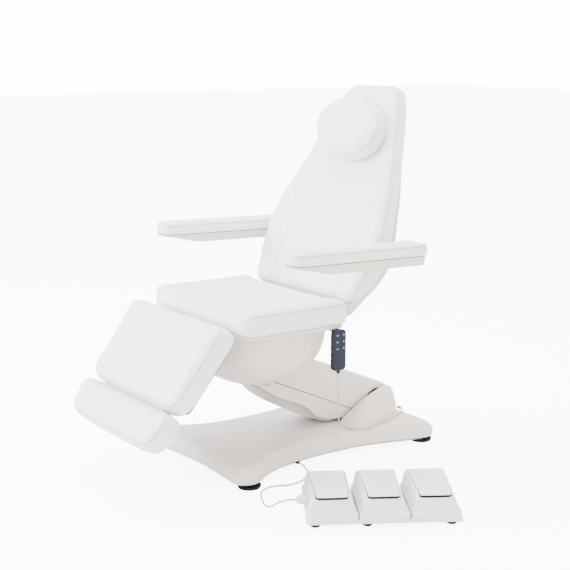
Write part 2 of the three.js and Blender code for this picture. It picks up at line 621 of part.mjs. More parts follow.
function backrest() {
  const frame = tilted(group, BACK_ROOT[0], BACK_ROOT[1], -BACK_TILT);
  // local Y is the depth behind the face, local Z runs up the backrest
  const cushionSide = outline([
    [0, 2, 10], [0, BACK_H, 22], [BACK_T, BACK_H, 22], [BACK_T, 330, 60],
    [64, 190, 50], [74, 120, 40], [60, 40, 30], [24, -30, 10],
  ]);
  const shellSide = outline([
    [24 + 1, -32, 6], [62, 36, 30], [75 + 1, 116, 40], [66 + 1, 192, 50], [BACK_T + 1.5, 332, 60],
    [BACK_T + 1.5, 640, 6], [BACK_T + 9, 640, 6], [BACK_T + 24, 300, 60], [92, 190, 50], [106, 128, 40], [98, 56, 30],
    [46, -46, 12], [36, -84, 6], [28, -84, 6],
  ]);
  const hingeRoom = block(-218, 218, -60, 220, -140, 24);
  const boltRoom = block(-240, 240, BACK_T - 14, BACK_T + 1, 0, 620);
  const pivotLocal = toBackFrame(BACK_PIVOT);
  const restLocal = toBackFrame(REST_PIVOT);
  const pinRoom = join(
    barX(REST_PIN_R + 1.5, -400, 400, restLocal[0], restLocal[1], 20),
    block(174, 200, BACK_T - 14, restLocal[0] + 16, restLocal[1] - 24, restLocal[1] + 24),
    block(-200, -174, BACK_T - 14, restLocal[0] + 16, restLocal[1] - 24, restLocal[1] + 24),
  );
  const cushion = common(panel(backPlan(0), -5, 140, 0), profile(cushionSide, -400, 400));
  place(frame, 'backrest_cushion', LEATHER, cut(cushion, block(-206, 206, -60, 220, -140, 14), boltRoom, pinRoom));
  const shell = common(panel(backPlan(9), -5, 140, 0), profile(shellSide, -400, 400));
  place(frame, 'backrest_shell', COVER, cut(shell, hingeRoom, pinRoom));

  const parts = [panel(outline(mirrored([[196, 62], [196, 260], [132, 600]])), BACK_T - 12, BACK_T - 1)];
  for (const side of [-1, 1]) {
    const x0 = side > 0 ? 128 : -144;
    const strap = outline([
      [pivotLocal[0] - 14, pivotLocal[1] - 14, 12], [pivotLocal[0] + 14, pivotLocal[1] - 14, 12], [pivotLocal[0] + 14, -4],
      [BACK_T - 1, 10], [BACK_T - 1, 90], [BACK_T - 12, 90], [BACK_T - 12, 12], [pivotLocal[0] - 14, -2],
    ]);
    parts.push(profile(strap, x0, x0 + 16));
    const stub = side > 0 ? [180, REST_X - REST_W + 34] : [-REST_X + REST_W - 34, -180];
    parts.push(barX(REST_PIN_R, stub[0], stub[1], restLocal[0], restLocal[1], 20));
    const inner = side > 0 ? 178 : -196;
    parts.push(block(inner, inner + 18, BACK_T - 12, restLocal[0] + 12, restLocal[1] - 20, restLocal[1] + 20));
  }
  const back = cut(join(...parts), barX(9 + GAP, -300, 300, pivotLocal[0], pivotLocal[1]));
  place(frame, 'backrest_frame', STEEL, back);
  place(group, 'backrest_hinge_shaft', BRIGHT, barX(9, -172, 172, ...BACK_PIVOT));
  return frame;
}

function toBackFrame([y, z]) {
  const a = THREE.MathUtils.degToRad(BACK_TILT);
  const dy = y - BACK_ROOT[0];
  const dz = z - BACK_ROOT[1];
  return [dy * Math.cos(a) - dz * Math.sin(a), dy * Math.sin(a) + dz * Math.cos(a)];
}

function pillow(frame) {
  const shape = new THREE.Shape();
  shape.absellipse(0, PILLOW_U, PILLOW_A, PILLOW_B, 0, 2 * Math.PI, false, 0);
  place(frame, 'head_pillow', LEATHER, panel(shape, -PILLOW_T - 1, -1, 20, 12));
}

// ---------------------------------------------------------------- leg rest

function legRest() {
  const frame = tilted(group, LEG_PIVOT[0], LEG_PIVOT[1], -LEG_TILT);
  // local Y runs from the face (negative) to the back, local Z up the leg rest
  const back = -LEG_BOARD_T;
  const face = back - LEG_T;
  const calfPlan = outline(mirrored([[CALF_W_END, -CALF_S1, 46], [CALF_W, -CALF_S0, 40]]));
  const calf = panel(calfPlan, face, back - GAP, 14);
  place(frame, 'calf_cushion', LEATHER, calf);
  const boardPlan = outline(mirrored([[CALF_W_END - 24, -CALF_S1 + 20, 30], [CALF_W - 24, -CALF_S0 - 34, 30]]));
  const boardSide = panel(boardPlan, back, 0);
  const lugs = [-118, 104].map((x0) => profile(outline([[-14, 14, 12], [14, 14, 12], [14, -14, 8], [0, -70], [-4, -70], [-11, -30], [-14, -14]]), x0, x0 + 14));
  const guides = [-94, 70].map((x0) => block(x0, x0 + 24, -4, 18, -CALF_S1 + 30, -CALF_S0 - 50));
  const guideHoles = [-94, 70].map((x0) => block(x0 + 4, x0 + 20, 2, 14, -CALF_S1 - 40, -CALF_S0));
  const clearance = block(-130, 130, face - 40, back, -CALF_S1, 40);
  const calfBoard = cut(join(boardSide, ...lugs, ...guides), ...guideHoles, barX(9 + RUN, -300, 300, 0, 0), clearance);
  place(frame, 'calf_board', STEEL, calfBoard);
  place(group, 'leg_hinge_shaft', BRIGHT, barX(9, -172, 172, ...LEG_PIVOT));

  const footPlan = outline(mirrored([[FOOTPAD_W - 20, -FOOTPAD_S1, 62], [FOOTPAD_W, -FOOTPAD_S0, 44]]));
  place(frame, 'foot_cushion', LEATHER, panel(footPlan, face - 6, back - GAP, 14));
  const footBoardPlan = outline(mirrored([[FOOTPAD_W - 46, -FOOTPAD_S1 + 20, 40], [FOOTPAD_W - 26, -FOOTPAD_S0 - 10, 26]]));
  place(frame, 'foot_board', STEEL, panel(footBoardPlan, back, 0));
  for (const [side, x0] of [['left', 74.5], ['right', -89.5]]) {
    const rail = join(block(x0, x0 + 15, 2.5, 13.5, -CALF_S1 + 40, -90), block(x0, x0 + 15, 2.5, 13.5, -FOOTPAD_S1 + 30, -CALF_S1 + 41));
    place(frame, `foot_rail_${side}`, BRIGHT, rail);
  }
}

// ---------------------------------------------------------------- armrests

function armrest(side, x) {
  const frame = tilted(group, REST_Y0, REST_Z, -REST_TILT);
  const length = REST_Y1 - REST_Y0;
  const end = (w, y0, y1, r) => outline([[x + w, y0, r], [x + w, y1, r - 12], [x - w, y1, r - 12], [x - w, y0, r]]);
  place(frame, `armrest_cushion_${side}`, LEATHER, slab(end(REST_W, 0, length, 44), -REST_T, 0, 10));
  const trayTop = -REST_T - GAP;
  const tray = slab(end(REST_W - 7, 8, length - 8, 38), trayTop - TRAY_T, trayTop, 8);
  const a = THREE.MathUtils.degToRad(REST_TILT);
  const dy = REST_PIVOT[0] - REST_Y0;
  const dz = REST_PIVOT[1] - REST_Z;
  const py = dy * Math.cos(a) - dz * Math.sin(a);
  const pz = dy * Math.sin(a) + dz * Math.cos(a);
  const inner = x > 0 ? x - REST_W + 2 : x + REST_W - 42;
  const bore = barX(REST_PIN_R + RUN, inner, inner + 40, py, pz, 20);
  place(frame, `armrest_tray_${side}`, COVER, cut(tray, bore));
}

// ---------------------------------------------------------------- handset

// a key's block, or with some room added the well it sits in
function key(room, x0, x1, y, z) {
  const w = KEY_W / 2 + room;
  const h = KEY_H / 2 + room;
  return profile(outline([[y - w, z - h], [y + w, z - h], [y + w, z + h], [y - w, z + h]], 3), x0, x1);
}

function handset() {
  const x0 = LIP_W + HAND_GAP;
  const x1 = x0 + HAND_T;
  const z0 = HAND_Z1 - HAND_H;
  const body = profile(outline([
    [HAND_Y - HAND_W / 2, z0, 22], [HAND_Y + HAND_W / 2, z0, 22],
    [HAND_Y + HAND_W / 2, HAND_Z1, 22], [HAND_Y - HAND_W / 2, HAND_Z1, 22],
  ]), x0, x1, 4);
  const wells = [];
  for (let row = 0; row < 3; row += 1) {
    for (let column = 0; column < 2; column += 1) {
      const y = HAND_Y + (column - 0.5) * KEY_COLUMN;
      const z = HAND_Z1 - KEY_TOP - row * KEY_ROW;
      wells.push(key(GAP, x1 - 4, x1 + 10, y, z));
      const name = `button_${['lift', 'back', 'leg'][row]}_${['up', 'down'][column]}`;
      place(group, name, KEYS, key(0, x1 - 2, x1 + 1.6, y, z));
    }
  }
  const relief = barZ(5, z0 - 12, z0 + 6, x0 + HAND_T / 2, HAND_Y, 12);
  place(group, 'handset', DARK, join(cut(body, ...wells), relief));
  const clip = outline([[HAND_Y - 16, HAND_Z1 - 34], [HAND_Y + 16, HAND_Z1 - 34], [HAND_Y + 16, lipUnder(HAND_Y) - 1], [HAND_Y - 16, lipUnder(HAND_Y) - 1]]);
  const plate = profile(clip, x0 - 3, x0 - GAP);
  const shelf = block(LIP_W - 60, x0 - GAP, HAND_Y - 16, HAND_Y + 16, lipUnder(HAND_Y) - 6, lipUnder(HAND_Y) - 1);
  place(group, 'handset_holder', RUBBER, join(plate, shelf));

  const exit = [x0 + HAND_T / 2, HAND_Y, z0 - 12 - GAP];
  place(group, 'handset_cord', LEAD, cordAlong(handsetRoute(exit), CORD_R, 52, 8));
}

// the cord hangs down to the base, lies round the foot of the pivot fairing
// and turns in to the gland behind it
function handsetRoute([x, y, z]) {
  const low = COVER_Z1 + CORD_R + 0.6;
  return [
    [x, y, z], [x, y, z - 20], [x - 2, y + 3, z - 42], [x - 6, y + 7, z - 66], [x - 13, y + 13, z - 90],
    [x - 24, y + 22, z - 114], [x - 38, y + 34, z - 138], [x - 58, y + 50, z - 162], [x - 80, y + 69, z - 186],
    [x - 104, y + 90, z - 209], [x - 126, y + 112, z - 230], [x - 144, y + 133, z - 248],
    [160, 99, 91], [161, 112, 82], [172, 119, low], [188, 123, low], [202, 134, low], [210, 152, low],
    [213, 180, low], [210, 215, low], [204, 250, low], [196, 285, low], [186, 320, low], [173, 354, low],
    [158, 384, low], [146, 406, low], [136, 424, 79.6], [126, 433, HAND_GLAND_Z - 0.2], [HAND_GLAND_X + 14 + GAP, HAND_GLAND_Y, HAND_GLAND_Z],
  ];
}

const HAND_GLAND_X = 100;
const HAND_GLAND_Y = 434;
const HAND_GLAND_Z = COVER_Z1 + 7;

function handsetGland() {
  const geometry = barX(6.5, HAND_GLAND_X, HAND_GLAND_X + 14, HAND_GLAND_Y, HAND_GLAND_Z);
  place(group, 'handset_cord_gland', RUBBER, geometry);
}

// ---------------------------------------------------------------- foot control

// plan of a pedal plate between two depths, with some room round it
function platePlan(y0, y1, room) {
  const front = PLATE_FRONT + room;
  const back = PLATE_BACK + room;
  return outline([[front, y0, 8], [back, y1, 3], [-back, y1, 3], [-front, y0, 8]]);
}

function footControl() {
  const frame = new THREE.Group();
  frame.position.set(PEDAL_AT[0], PEDAL_AT[1], 0);
  frame.rotation.z = THREE.MathUtils.degToRad(PEDAL_TURN);
  group.add(frame);
  const half = PEDAL_D / 2;
  const plateY0 = -half + 32;
  const plateY1 = half - 18;
  const under = PEDAL_H - PLATE_T;
  const rim = PEDAL_H - 5;
  const pinY = half - 28;
  const pinZ = PEDAL_H - 7.5;
  const pinR = 3.5;
  // the plate hinges on a pin near the back and its front edge is turned down
  const plateSide = outline([
    [plateY0, under - 1, 1], [plateY0, under + 2, 2], [plateY0 + 27, PEDAL_H, 12], [plateY1, PEDAL_H, 3],
    [plateY1, under, 2], [pinY + 8, under - 4, 4], [pinY - 8, under - 4, 4], [pinY - 14, under, 3], [plateY0 + 26, under, 6],
  ]);
  for (let i = 0; i < PEDAL_N; i += 1) {
    const side = ['left', 'middle', 'right'][i];
    const x = (i - (PEDAL_N - 1) / 2) * PEDAL_PITCH;
    const plinth = slab(rounded(PEDAL_W / 2, PEDAL_W / 2, -half, half, 8), PEDAL_LIFT, PLINTH_Z, 0);
    const corners = [];
    for (const sx of [-1, 1]) {
      corners.push(new THREE.Vector3(sx * (PEDAL_W / 2 - 4), -half + 12, PLINTH_Z - 1));
      corners.push(new THREE.Vector3(sx * (PEDAL_W / 2 - 4), half - 8, PLINTH_Z - 1));
      corners.push(new THREE.Vector3(sx * (PLATE_FRONT + 8), plateY0 + 2, under - PEDAL_TRAVEL - 1));
      corners.push(new THREE.Vector3(sx * (PLATE_FRONT + 8), plateY0 + 30, rim - 1));
      corners.push(new THREE.Vector3(sx * (PLATE_BACK + 8), plateY1 + 6, rim));
    }
    const body = new ConvexGeometry(corners);
    const mouth = slab(platePlan(-half - 10, plateY1 + PLATE_GAP, PLATE_GAP), under - PEDAL_TRAVEL - 1, 200);
    const well = slab(platePlan(plateY0 + 18, plateY1 + PLATE_GAP, PLATE_GAP), under - PEDAL_TRAVEL - 10, 200);
    const stubs = [];
    for (const y of [-half + 18, half - 18]) stubs.push(barZ(15, 0, PEDAL_LIFT + 2, PEDAL_FEET[i], y));
    const pin = barX(pinR, -PLATE_BACK - 6, PLATE_BACK + 6, pinY, pinZ, 12);
    const shell = join(cut(join(plinth, body), mouth, well), pin, ...stubs);
    const slope = common(slab(platePlan(plateY0, plateY1, 0), 0, 200), profile(plateSide, -100, 100));
    const plate = cut(slope, barX(pinR + RUN, -200, 200, pinY, pinZ, 12));
    shell.translate(x, 0, 0);
    plate.translate(x, 0, 0);
    place(frame, `foot_control_case_${side}`, GREY, shell);
    place(frame, `foot_pedal_${side}`, GREY, plate);
  }
  const endX = -((PEDAL_N - 1) / 2) * PEDAL_PITCH - PEDAL_W / 2;
  place(frame, 'foot_control_relief', GREY, barX(12, endX - 30, endX + 1.5, RELIEF_Y, RELIEF_Z));
  const tip = new THREE.Vector3(endX - 30 - GAP, RELIEF_Y, RELIEF_Z);
  return tip.applyAxisAngle(new THREE.Vector3(0, 0, 1), frame.rotation.z).add(frame.position);
}

const RELIEF_Y = -34;
const RELIEF_Z = 58;

function footCord(start) {
  const a = THREE.MathUtils.degToRad(PEDAL_TURN);
  const out = new THREE.Vector3(-Math.cos(a), -Math.sin(a), 0);
  const z = CORD_R + 0.5;
  const first = start.clone().addScaledVector(out, 22);
  const route = [
    start.toArray(), [first.x, first.y, 57.6], [518, -468, 42], [488, -470, 20], [458, -466, 9], [428, -456, z],
    [398, -442, z], [368, -426, z], [342, -406, z], [324, -380, z], [317, -350, z], [326, -322, z],
    [340, -294, z], [344, -262, z], [336, -228, z], [320, -196, z], [297, -170, z], [270, -155, z + 2],
    [246, -151, 11], [233, -150, 14.4], [PEDAL_GLAND_X + 16 + GAP, -150, FOOT_H + 5.8],
  ];
  place(group, 'foot_control_cord', LEAD, cordAlong(route, CORD_R, 50, 8));
}

// ---------------------------------------------------------------- assembly

feet();
place(group, 'base_frame', STEEL, baseFrame());
baseCovers();
baseFittings();
liftArm();
parallelLink();
liftActuator();
seatFrame();
seatShroud();
seat();
pillow(backrest());
legRest();
armrest('left', REST_X);
armrest('right', -REST_X);
handset();
handsetGland();
footCord(footControl());

export default group;
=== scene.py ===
# Electric pedicure spa chair: upholstery, mouldings, fittings and finishes.
# Metres, +Z up; the sitter faces -Y and the sitter's left is +X.

import json
import math
import bpy
from mathutils import Matrix, Vector


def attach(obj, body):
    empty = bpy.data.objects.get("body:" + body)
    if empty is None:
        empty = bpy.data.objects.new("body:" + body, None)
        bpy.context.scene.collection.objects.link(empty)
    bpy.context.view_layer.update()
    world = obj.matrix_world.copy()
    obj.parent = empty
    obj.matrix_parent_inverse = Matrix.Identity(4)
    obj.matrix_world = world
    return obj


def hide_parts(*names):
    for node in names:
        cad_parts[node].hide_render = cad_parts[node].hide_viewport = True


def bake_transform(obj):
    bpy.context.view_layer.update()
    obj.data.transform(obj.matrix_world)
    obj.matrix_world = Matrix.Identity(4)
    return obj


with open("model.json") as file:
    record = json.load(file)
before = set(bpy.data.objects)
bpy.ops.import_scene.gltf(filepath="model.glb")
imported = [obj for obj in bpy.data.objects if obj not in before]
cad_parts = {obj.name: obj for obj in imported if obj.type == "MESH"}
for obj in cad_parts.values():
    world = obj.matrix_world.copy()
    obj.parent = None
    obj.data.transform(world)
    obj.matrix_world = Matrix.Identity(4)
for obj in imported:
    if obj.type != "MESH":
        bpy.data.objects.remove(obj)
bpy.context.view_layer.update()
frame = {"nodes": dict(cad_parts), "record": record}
scene = bpy.context.scene
nodes = frame["nodes"]


def nothing_selected():
    for obj in bpy.context.selected_objects:
        obj.select_set(False)


def only(obj):
    nothing_selected()
    obj.select_set(True)
    bpy.context.view_layer.objects.active = obj


def edit(obj, kind="FACE"):
    only(obj)
    bpy.ops.object.mode_set(mode="EDIT")
    bpy.ops.mesh.select_mode(type=kind)
    bpy.ops.mesh.select_all(action="DESELECT")


def done():
    bpy.ops.object.mode_set(mode="OBJECT")


# ---------------------------------------------------------------- camera

def camera():
    data = bpy.data.cameras.new("camera")
    data.lens = 72.0
    data.sensor_width = 36.0
    data.clip_end = 60.0
    eye = bpy.data.objects.new("camera", data)
    scene.collection.objects.link(eye)
    eye.location = (3.2778, -2.5190, 1.4744)
    eye.rotation_mode = "QUATERNION"
    aim = Vector((-0.065, 0.0, 0.6)) - Vector(eye.location)
    eye.rotation_quaternion = aim.to_track_quat("-Z", "Y")
    scene.camera = eye


camera()

# ---------------------------------------------------------------- node groups

def sock(tree, name, way, kind="NodeSocketFloat", value=None):
    s = tree.interface.new_socket(name=name, in_out=way, socket_type=kind)
    if value is not None:
        s.default_value = value
    return s


def group(name, inputs, outputs):
    tree = bpy.data.node_groups.new(name, "ShaderNodeTree")
    for label, kind, value in inputs:
        sock(tree, label, "INPUT", kind, value)
    for label, kind in outputs:
        sock(tree, label, "OUTPUT", kind)
    return tree, tree.nodes.new("NodeGroupInput"), tree.nodes.new("NodeGroupOutput")


def math_node(tree, op, a, b=None, clamp=False):
    node = tree.nodes.new("ShaderNodeMath")
    node.operation = op
    node.use_clamp = clamp
    for i, value in enumerate((a, b)):
        if value is None:
            continue
        if isinstance(value, (int, float)):
            node.inputs[i].default_value = value
        else:
            tree.links.new(value, node.inputs[i])
    return node.outputs[0]


def noise(tree, vector, scale, detail=3.0, rough=0.5):
    node = tree.nodes.new("ShaderNodeTexNoise")
    node.inputs["Detail"].default_value = detail
    node.inputs["Roughness"].default_value = rough
    tree.links.new(vector, node.inputs["Vector"])
    if isinstance(scale, (int, float)):
        node.inputs["Scale"].default_value = scale
    else:
        tree.links.new(scale, node.inputs["Scale"])
    return node.outputs["Fac"]


def ramp(tree, value, lo, hi, out_lo=0.0, out_hi=1.0):
    node = tree.nodes.new("ShaderNodeMapRange")
    node.interpolation_type = "SMOOTHSTEP"
    node.inputs["From Min"].default_value = lo
    node.inputs["From Max"].default_value = hi
    node.inputs["To Min"].default_value = out_lo
    node.inputs["To Max"].default_value = out_hi
    tree.links.new(value, node.inputs["Value"])
    return node.outputs["Result"]


def blend_color(tree, factor, a, b):
    node = tree.nodes.new("ShaderNodeMix")
    node.data_type = "RGBA"
    tree.links.new(factor, node.inputs["Factor"])
    for key, value in (("A", a), ("B", b)):
        target = [s for s in node.inputs if s.name == key and s.type == "RGBA"][0]
        if isinstance(value, (tuple, list)):
            target.default_value = (*value[:3], 1.0)
        else:
            tree.links.new(value, target)
    return [s for s in node.outputs if s.type == "RGBA"][0]


COLOR, FLOAT, VECTOR = "NodeSocketColor", "NodeSocketFloat", "NodeSocketVector"


# leather: pebbled grain, fine pores and slow cloudiness of the dye
def leather_group():
    tree, gin, gout = group("Leather grain", [
        ("Position", VECTOR, None), ("Cell size", FLOAT, 620.0), ("Color", COLOR, (0.85, 0.85, 0.84, 1.0)),
        ("Shade", COLOR, (0.78, 0.78, 0.76, 1.0)), ("Roughness", FLOAT, 0.46),
    ], [("Color", COLOR), ("Roughness", FLOAT), ("Height", FLOAT)])
    cells = tree.nodes.new("ShaderNodeTexVoronoi")
    cells.feature = "DISTANCE_TO_EDGE"
    tree.links.new(gin.outputs["Position"], cells.inputs["Vector"])
    tree.links.new(gin.outputs["Cell size"], cells.inputs["Scale"])
    pebble = ramp(tree, cells.outputs["Distance"], 0.0, 0.22)
    pores = noise(tree, gin.outputs["Position"], 1900.0, 2.0, 0.6)
    cloud = noise(tree, gin.outputs["Position"], 7.0, 4.0, 0.55)
    height = math_node(tree, "ADD", math_node(tree, "MULTIPLY", pebble, 0.75), math_node(tree, "MULTIPLY", pores, 0.3))
    tree.links.new(height, gout.inputs["Height"])
    mix = math_node(tree, "MULTIPLY", ramp(tree, cloud, 0.35, 0.75), 0.35)
    mix = math_node(tree, "ADD", mix, math_node(tree, "MULTIPLY", ramp(tree, pebble, 1.0, 0.0), 0.25), True)
    tree.links.new(blend_color(tree, mix, gin.outputs["Color"], gin.outputs["Shade"]), gout.inputs["Color"])
    rough = math_node(tree, "ADD", gin.outputs["Roughness"], math_node(tree, "MULTIPLY", math_node(tree, "SUBTRACT", cloud, 0.5), 0.16))
    tree.links.new(rough, gout.inputs["Roughness"])
    return tree


# a sewn seam: a pressed line at no distance, and stitches beside it; the line is also the mask for the painted shade
# along the seams
def seam_group():
    tree, gin, gout = group("Sewn seam", [
        ("Distance", FLOAT, 50.0), ("Along", FLOAT, 0.0), ("Stitch", FLOAT, 5.0), ("Width", FLOAT, 2.2),
    ], [("Line", FLOAT), ("Stitches", FLOAT)])
    far = math_node(tree, "ABSOLUTE", gin.outputs["Distance"])
    part = math_node(tree, "DIVIDE", far, gin.outputs["Width"])
    tree.links.new(ramp(tree, part, 1.0, 0.0), gout.inputs["Line"])
    beside = math_node(tree, "ABSOLUTE", math_node(tree, "SUBTRACT", gin.outputs["Distance"], 4.2))
    row = ramp(tree, beside, 0.9, 0.35)
    turn = math_node(tree, "FRACT", math_node(tree, "DIVIDE", gin.outputs["Along"], gin.outputs["Stitch"]))
    thread = ramp(tree, math_node(tree, "ABSOLUTE", math_node(tree, "SUBTRACT", turn, 0.5)), 0.36, 0.28)
    tree.links.new(math_node(tree, "MULTIPLY", row, thread), gout.inputs["Stitches"])
    return tree


# moulded plastic: spark texture, slight mottling and soft handling marks
def moulded_group():
    tree, gin, gout = group("Moulded surface", [
        ("Position", VECTOR, None), ("Color", COLOR, (0.7, 0.7, 0.7, 1.0)), ("Mark color", COLOR, (0.6, 0.6, 0.6, 1.0)),
        ("Texture", FLOAT, 900.0), ("Roughness", FLOAT, 0.4), ("Marks", FLOAT, 0.3),
    ], [("Color", COLOR), ("Roughness", FLOAT), ("Height", FLOAT)])
    spark = noise(tree, gin.outputs["Position"], gin.outputs["Texture"], 2.0, 0.6)
    slow = noise(tree, gin.outputs["Position"], 5.0, 3.0, 0.6)
    rub = noise(tree, gin.outputs["Position"], 34.0, 5.0, 0.7)
    mark = math_node(tree, "MULTIPLY", ramp(tree, rub, 0.52, 0.74), gin.outputs["Marks"])
    mix = math_node(tree, "ADD", mark, math_node(tree, "MULTIPLY", ramp(tree, slow, 0.3, 0.8), 0.3), True)
    tree.links.new(blend_color(tree, mix, gin.outputs["Color"], gin.outputs["Mark color"]), gout.inputs["Color"])
    rough = math_node(tree, "ADD", gin.outputs["Roughness"], math_node(tree, "MULTIPLY", mark, 0.2))
    rough = math_node(tree, "ADD", rough, math_node(tree, "MULTIPLY", math_node(tree, "SUBTRACT", spark, 0.5), 0.1))
    tree.links.new(rough, gout.inputs["Roughness"])
    tree.links.new(spark, gout.inputs["Height"])
    return tree


# metal: drawn streaks along one direction and light tarnish
def metal_group():
    tree, gin, gout = group("Worked metal", [
        ("Position", VECTOR, None), ("Color", COLOR, (0.6, 0.6, 0.6, 1.0)), ("Tarnish", COLOR, (0.4, 0.4, 0.4, 1.0)),
        ("Roughness", FLOAT, 0.3), ("Texture", FLOAT, 700.0),
    ], [("Color", COLOR), ("Roughness", FLOAT), ("Height", FLOAT)])
    stretch = tree.nodes.new("ShaderNodeMapping")
    stretch.inputs["Scale"].default_value = (0.06, 1.0, 1.0)
    tree.links.new(gin.outputs["Position"], stretch.inputs["Vector"])
    streak = noise(tree, stretch.outputs["Vector"], gin.outputs["Texture"], 3.0, 0.6)
    stain = noise(tree, gin.outputs["Position"], 22.0, 4.0, 0.65)
    mix = math_node(tree, "MULTIPLY", ramp(tree, stain, 0.45, 0.75), 0.6)
    tree.links.new(blend_color(tree, mix, gin.outputs["Color"], gin.outputs["Tarnish"]), gout.inputs["Color"])
    rough = math_node(tree, "ADD", gin.outputs["Roughness"], math_node(tree, "MULTIPLY", mix, 0.25))
    rough = math_node(tree, "ADD", rough, math_node(tree, "MULTIPLY", math_node(tree, "SUBTRACT", streak, 0.5), 0.12))
    tree.links.new(rough, gout.inputs["Roughness"])
    tree.links.new(streak, gout.inputs["Height"])
    return tree


LEATHER, SEAM, MOULDED, METAL = leather_group(), seam_group(), moulded_group(), metal_group()


# ---------------------------------------------------------------- materials

def blank(name, **constants):
    mat = bpy.data.materials.new(name)
    mat.use_nodes = True
    tree = mat.node_tree
    shader = tree.nodes["Principled BSDF"]
    for key, value in constants.items():
        shader.inputs[key.replace("_", " ")].default_value = value
    where = tree.nodes.new("ShaderNodeTexCoord").outputs["Object"]
    return mat, tree, shader, where


def use(tree, kind, **inputs):
    node = tree.nodes.new("ShaderNodeGroup")
    node.node_tree = kind
    for key, value in inputs.items():
        target = node.inputs[key.replace("_", " ")]
        if isinstance(value, bpy.types.NodeSocket):
            tree.links.new(value, target)
        elif isinstance(value, (tuple, list)):
            target.default_value = (*value[:3], 1.0)
        else:
            target.default_value = value
    return node


def bump(tree, shader, height, strength, distance):
    node = tree.nodes.new("ShaderNodeBump")
    node.inputs["Strength"].default_value = strength
    node.inputs["Distance"].default_value = distance
    tree.links.new(height, node.inputs["Height"])
    tree.links.new(node.outputs["Normal"], shader.inputs["Normal"])
    return node


def plastic(name, color, marks, rough, texture=900.0, wear=0.3, relief=0.12, **constants):
    mat, tree, shader, where = blank(name, **constants)
    skin = use(tree, MOULDED, Position=where, Color=color, Mark_color=marks, Texture=texture, Roughness=rough, Marks=wear)
    tree.links.new(skin.outputs["Color"], shader.inputs["Base Color"])
    tree.links.new(skin.outputs["Roughness"], shader.inputs["Roughness"])
    bump(tree, shader, skin.outputs["Height"], relief, 0.0004)
    return mat


def metal(name, color, tarnish, rough, metallic, texture=700.0, relief=0.1):
    mat, tree, shader, where = blank(name, Metallic=metallic)
    skin = use(tree, METAL, Position=where, Color=color, Tarnish=tarnish, Roughness=rough, Texture=texture)
    tree.links.new(skin.outputs["Color"], shader.inputs["Base Color"])
    tree.links.new(skin.outputs["Roughness"], shader.inputs["Roughness"])
    bump(tree, shader, skin.outputs["Height"], relief, 0.0003)
    return mat


def upholstery(name, color, shade, rough):
    mat, tree, shader, where = blank(name, Coat_Weight=0.08, Coat_Roughness=0.35, Sheen_Weight=0.05)
    skin = use(tree, LEATHER, Position=where, Color=color, Shade=shade, Roughness=rough)
    height, tint = math_node(tree, "MULTIPLY", skin.outputs["Height"], 0.12), skin.outputs["Color"]
    for label in ("edge", "face"):
        place = tree.nodes.new("ShaderNodeAttribute")
        place.attribute_name = f"seam_{label}"
        along = tree.nodes.new("ShaderNodeAttribute")
        along.attribute_name = f"along_{label}"
        sewn = use(tree, SEAM, Distance=place.outputs["Fac"], Along=along.outputs["Fac"])
        height = math_node(tree, "SUBTRACT", height, sewn.outputs["Line"])
        height = math_node(tree, "ADD", height, math_node(tree, "MULTIPLY", sewn.outputs["Stitches"], 0.35))
        # the seam line is also painted near-black (0.20, 0.19, 0.18): painted shade in the pressed seam crease
        painted_seam_shade = math_node(tree, "MULTIPLY", sewn.outputs["Line"], 0.8)
        tint = blend_color(tree, painted_seam_shade, tint, (0.20, 0.19, 0.18))
    tree.links.new(tint, shader.inputs["Base Color"])
    tree.links.new(skin.outputs["Roughness"], shader.inputs["Roughness"])
    bump(tree, shader, height, 0.5, 0.0009)
    return mat


def plywood(name):
    mat, tree, shader, where = blank(name)
    stretch = tree.nodes.new("ShaderNodeMapping")
    stretch.inputs["Scale"].default_value = (1.0, 14.0, 14.0)
    tree.links.new(where, stretch.inputs["Vector"])
    grain = noise(tree, stretch.outputs["Vector"], 9.0, 6.0, 0.6)
    tree.links.new(blend_color(tree, ramp(tree, grain, 0.3, 0.7), (0.52, 0.36, 0.2), (0.33, 0.21, 0.11)), shader.inputs["Base Color"])
    tree.links.new(ramp(tree, grain, 0.2, 0.8, 0.75, 0.6), shader.inputs["Roughness"])
    bump(tree, shader, grain, 0.2, 0.0005)
    return mat


white_leather = upholstery("white leatherette", (0.775, 0.77, 0.752), (0.715, 0.71, 0.69), 0.44)
cover_shell = plastic("warm grey moulding", (0.62, 0.56, 0.53), (0.57, 0.515, 0.485), 0.40, Specular_IOR_Level=0.45)
belly_shell = plastic("belly moulding", (0.36, 0.34, 0.335), (0.31, 0.29, 0.285), 0.45)
control_shell = plastic("control moulding", (0.70, 0.70, 0.70), (0.64, 0.64, 0.64), 0.38, 1100.0)
handset_shell = plastic("handset moulding", (0.012, 0.015, 0.026), (0.02, 0.024, 0.036), 0.5, 1400.0, 0.4, Specular_IOR_Level=0.12)
key_rubber = plastic("handset keys", (0.035, 0.042, 0.065), (0.05, 0.058, 0.08), 0.55, 1600.0, Specular_IOR_Level=0.15)
key_blue = plastic("blue keys", (0.03, 0.036, 0.12), (0.05, 0.056, 0.16), 0.5, 1600.0, Specular_IOR_Level=0.15)
key_print = plastic("key marks", (0.30, 0.33, 0.38), (0.25, 0.27, 0.32), 0.5, 1600.0)
black_rubber = plastic("black rubber", (0.007, 0.007, 0.0075), (0.016, 0.016, 0.016), 0.75, 500.0, 0.5, 0.3, Specular_IOR_Level=0.1)
powder_black = metal("black powder coat", (0.014, 0.014, 0.015), (0.026, 0.025, 0.024), 0.5, 0.25, 1200.0, 0.25)
ground_steel = metal("ground steel", (0.62, 0.63, 0.64), (0.42, 0.41, 0.40), 0.28, 1.0)
lead_jacket = plastic("cord jacket", (0.42, 0.41, 0.40), (0.36, 0.35, 0.34), 0.5, 700.0)
board_ply = plywood("seat board plywood")


def dress(obj, mat):
    obj.data.materials.clear()
    obj.data.materials.append(mat)
    return obj


# ---------------------------------------------------------------- the frames of the leaning parts

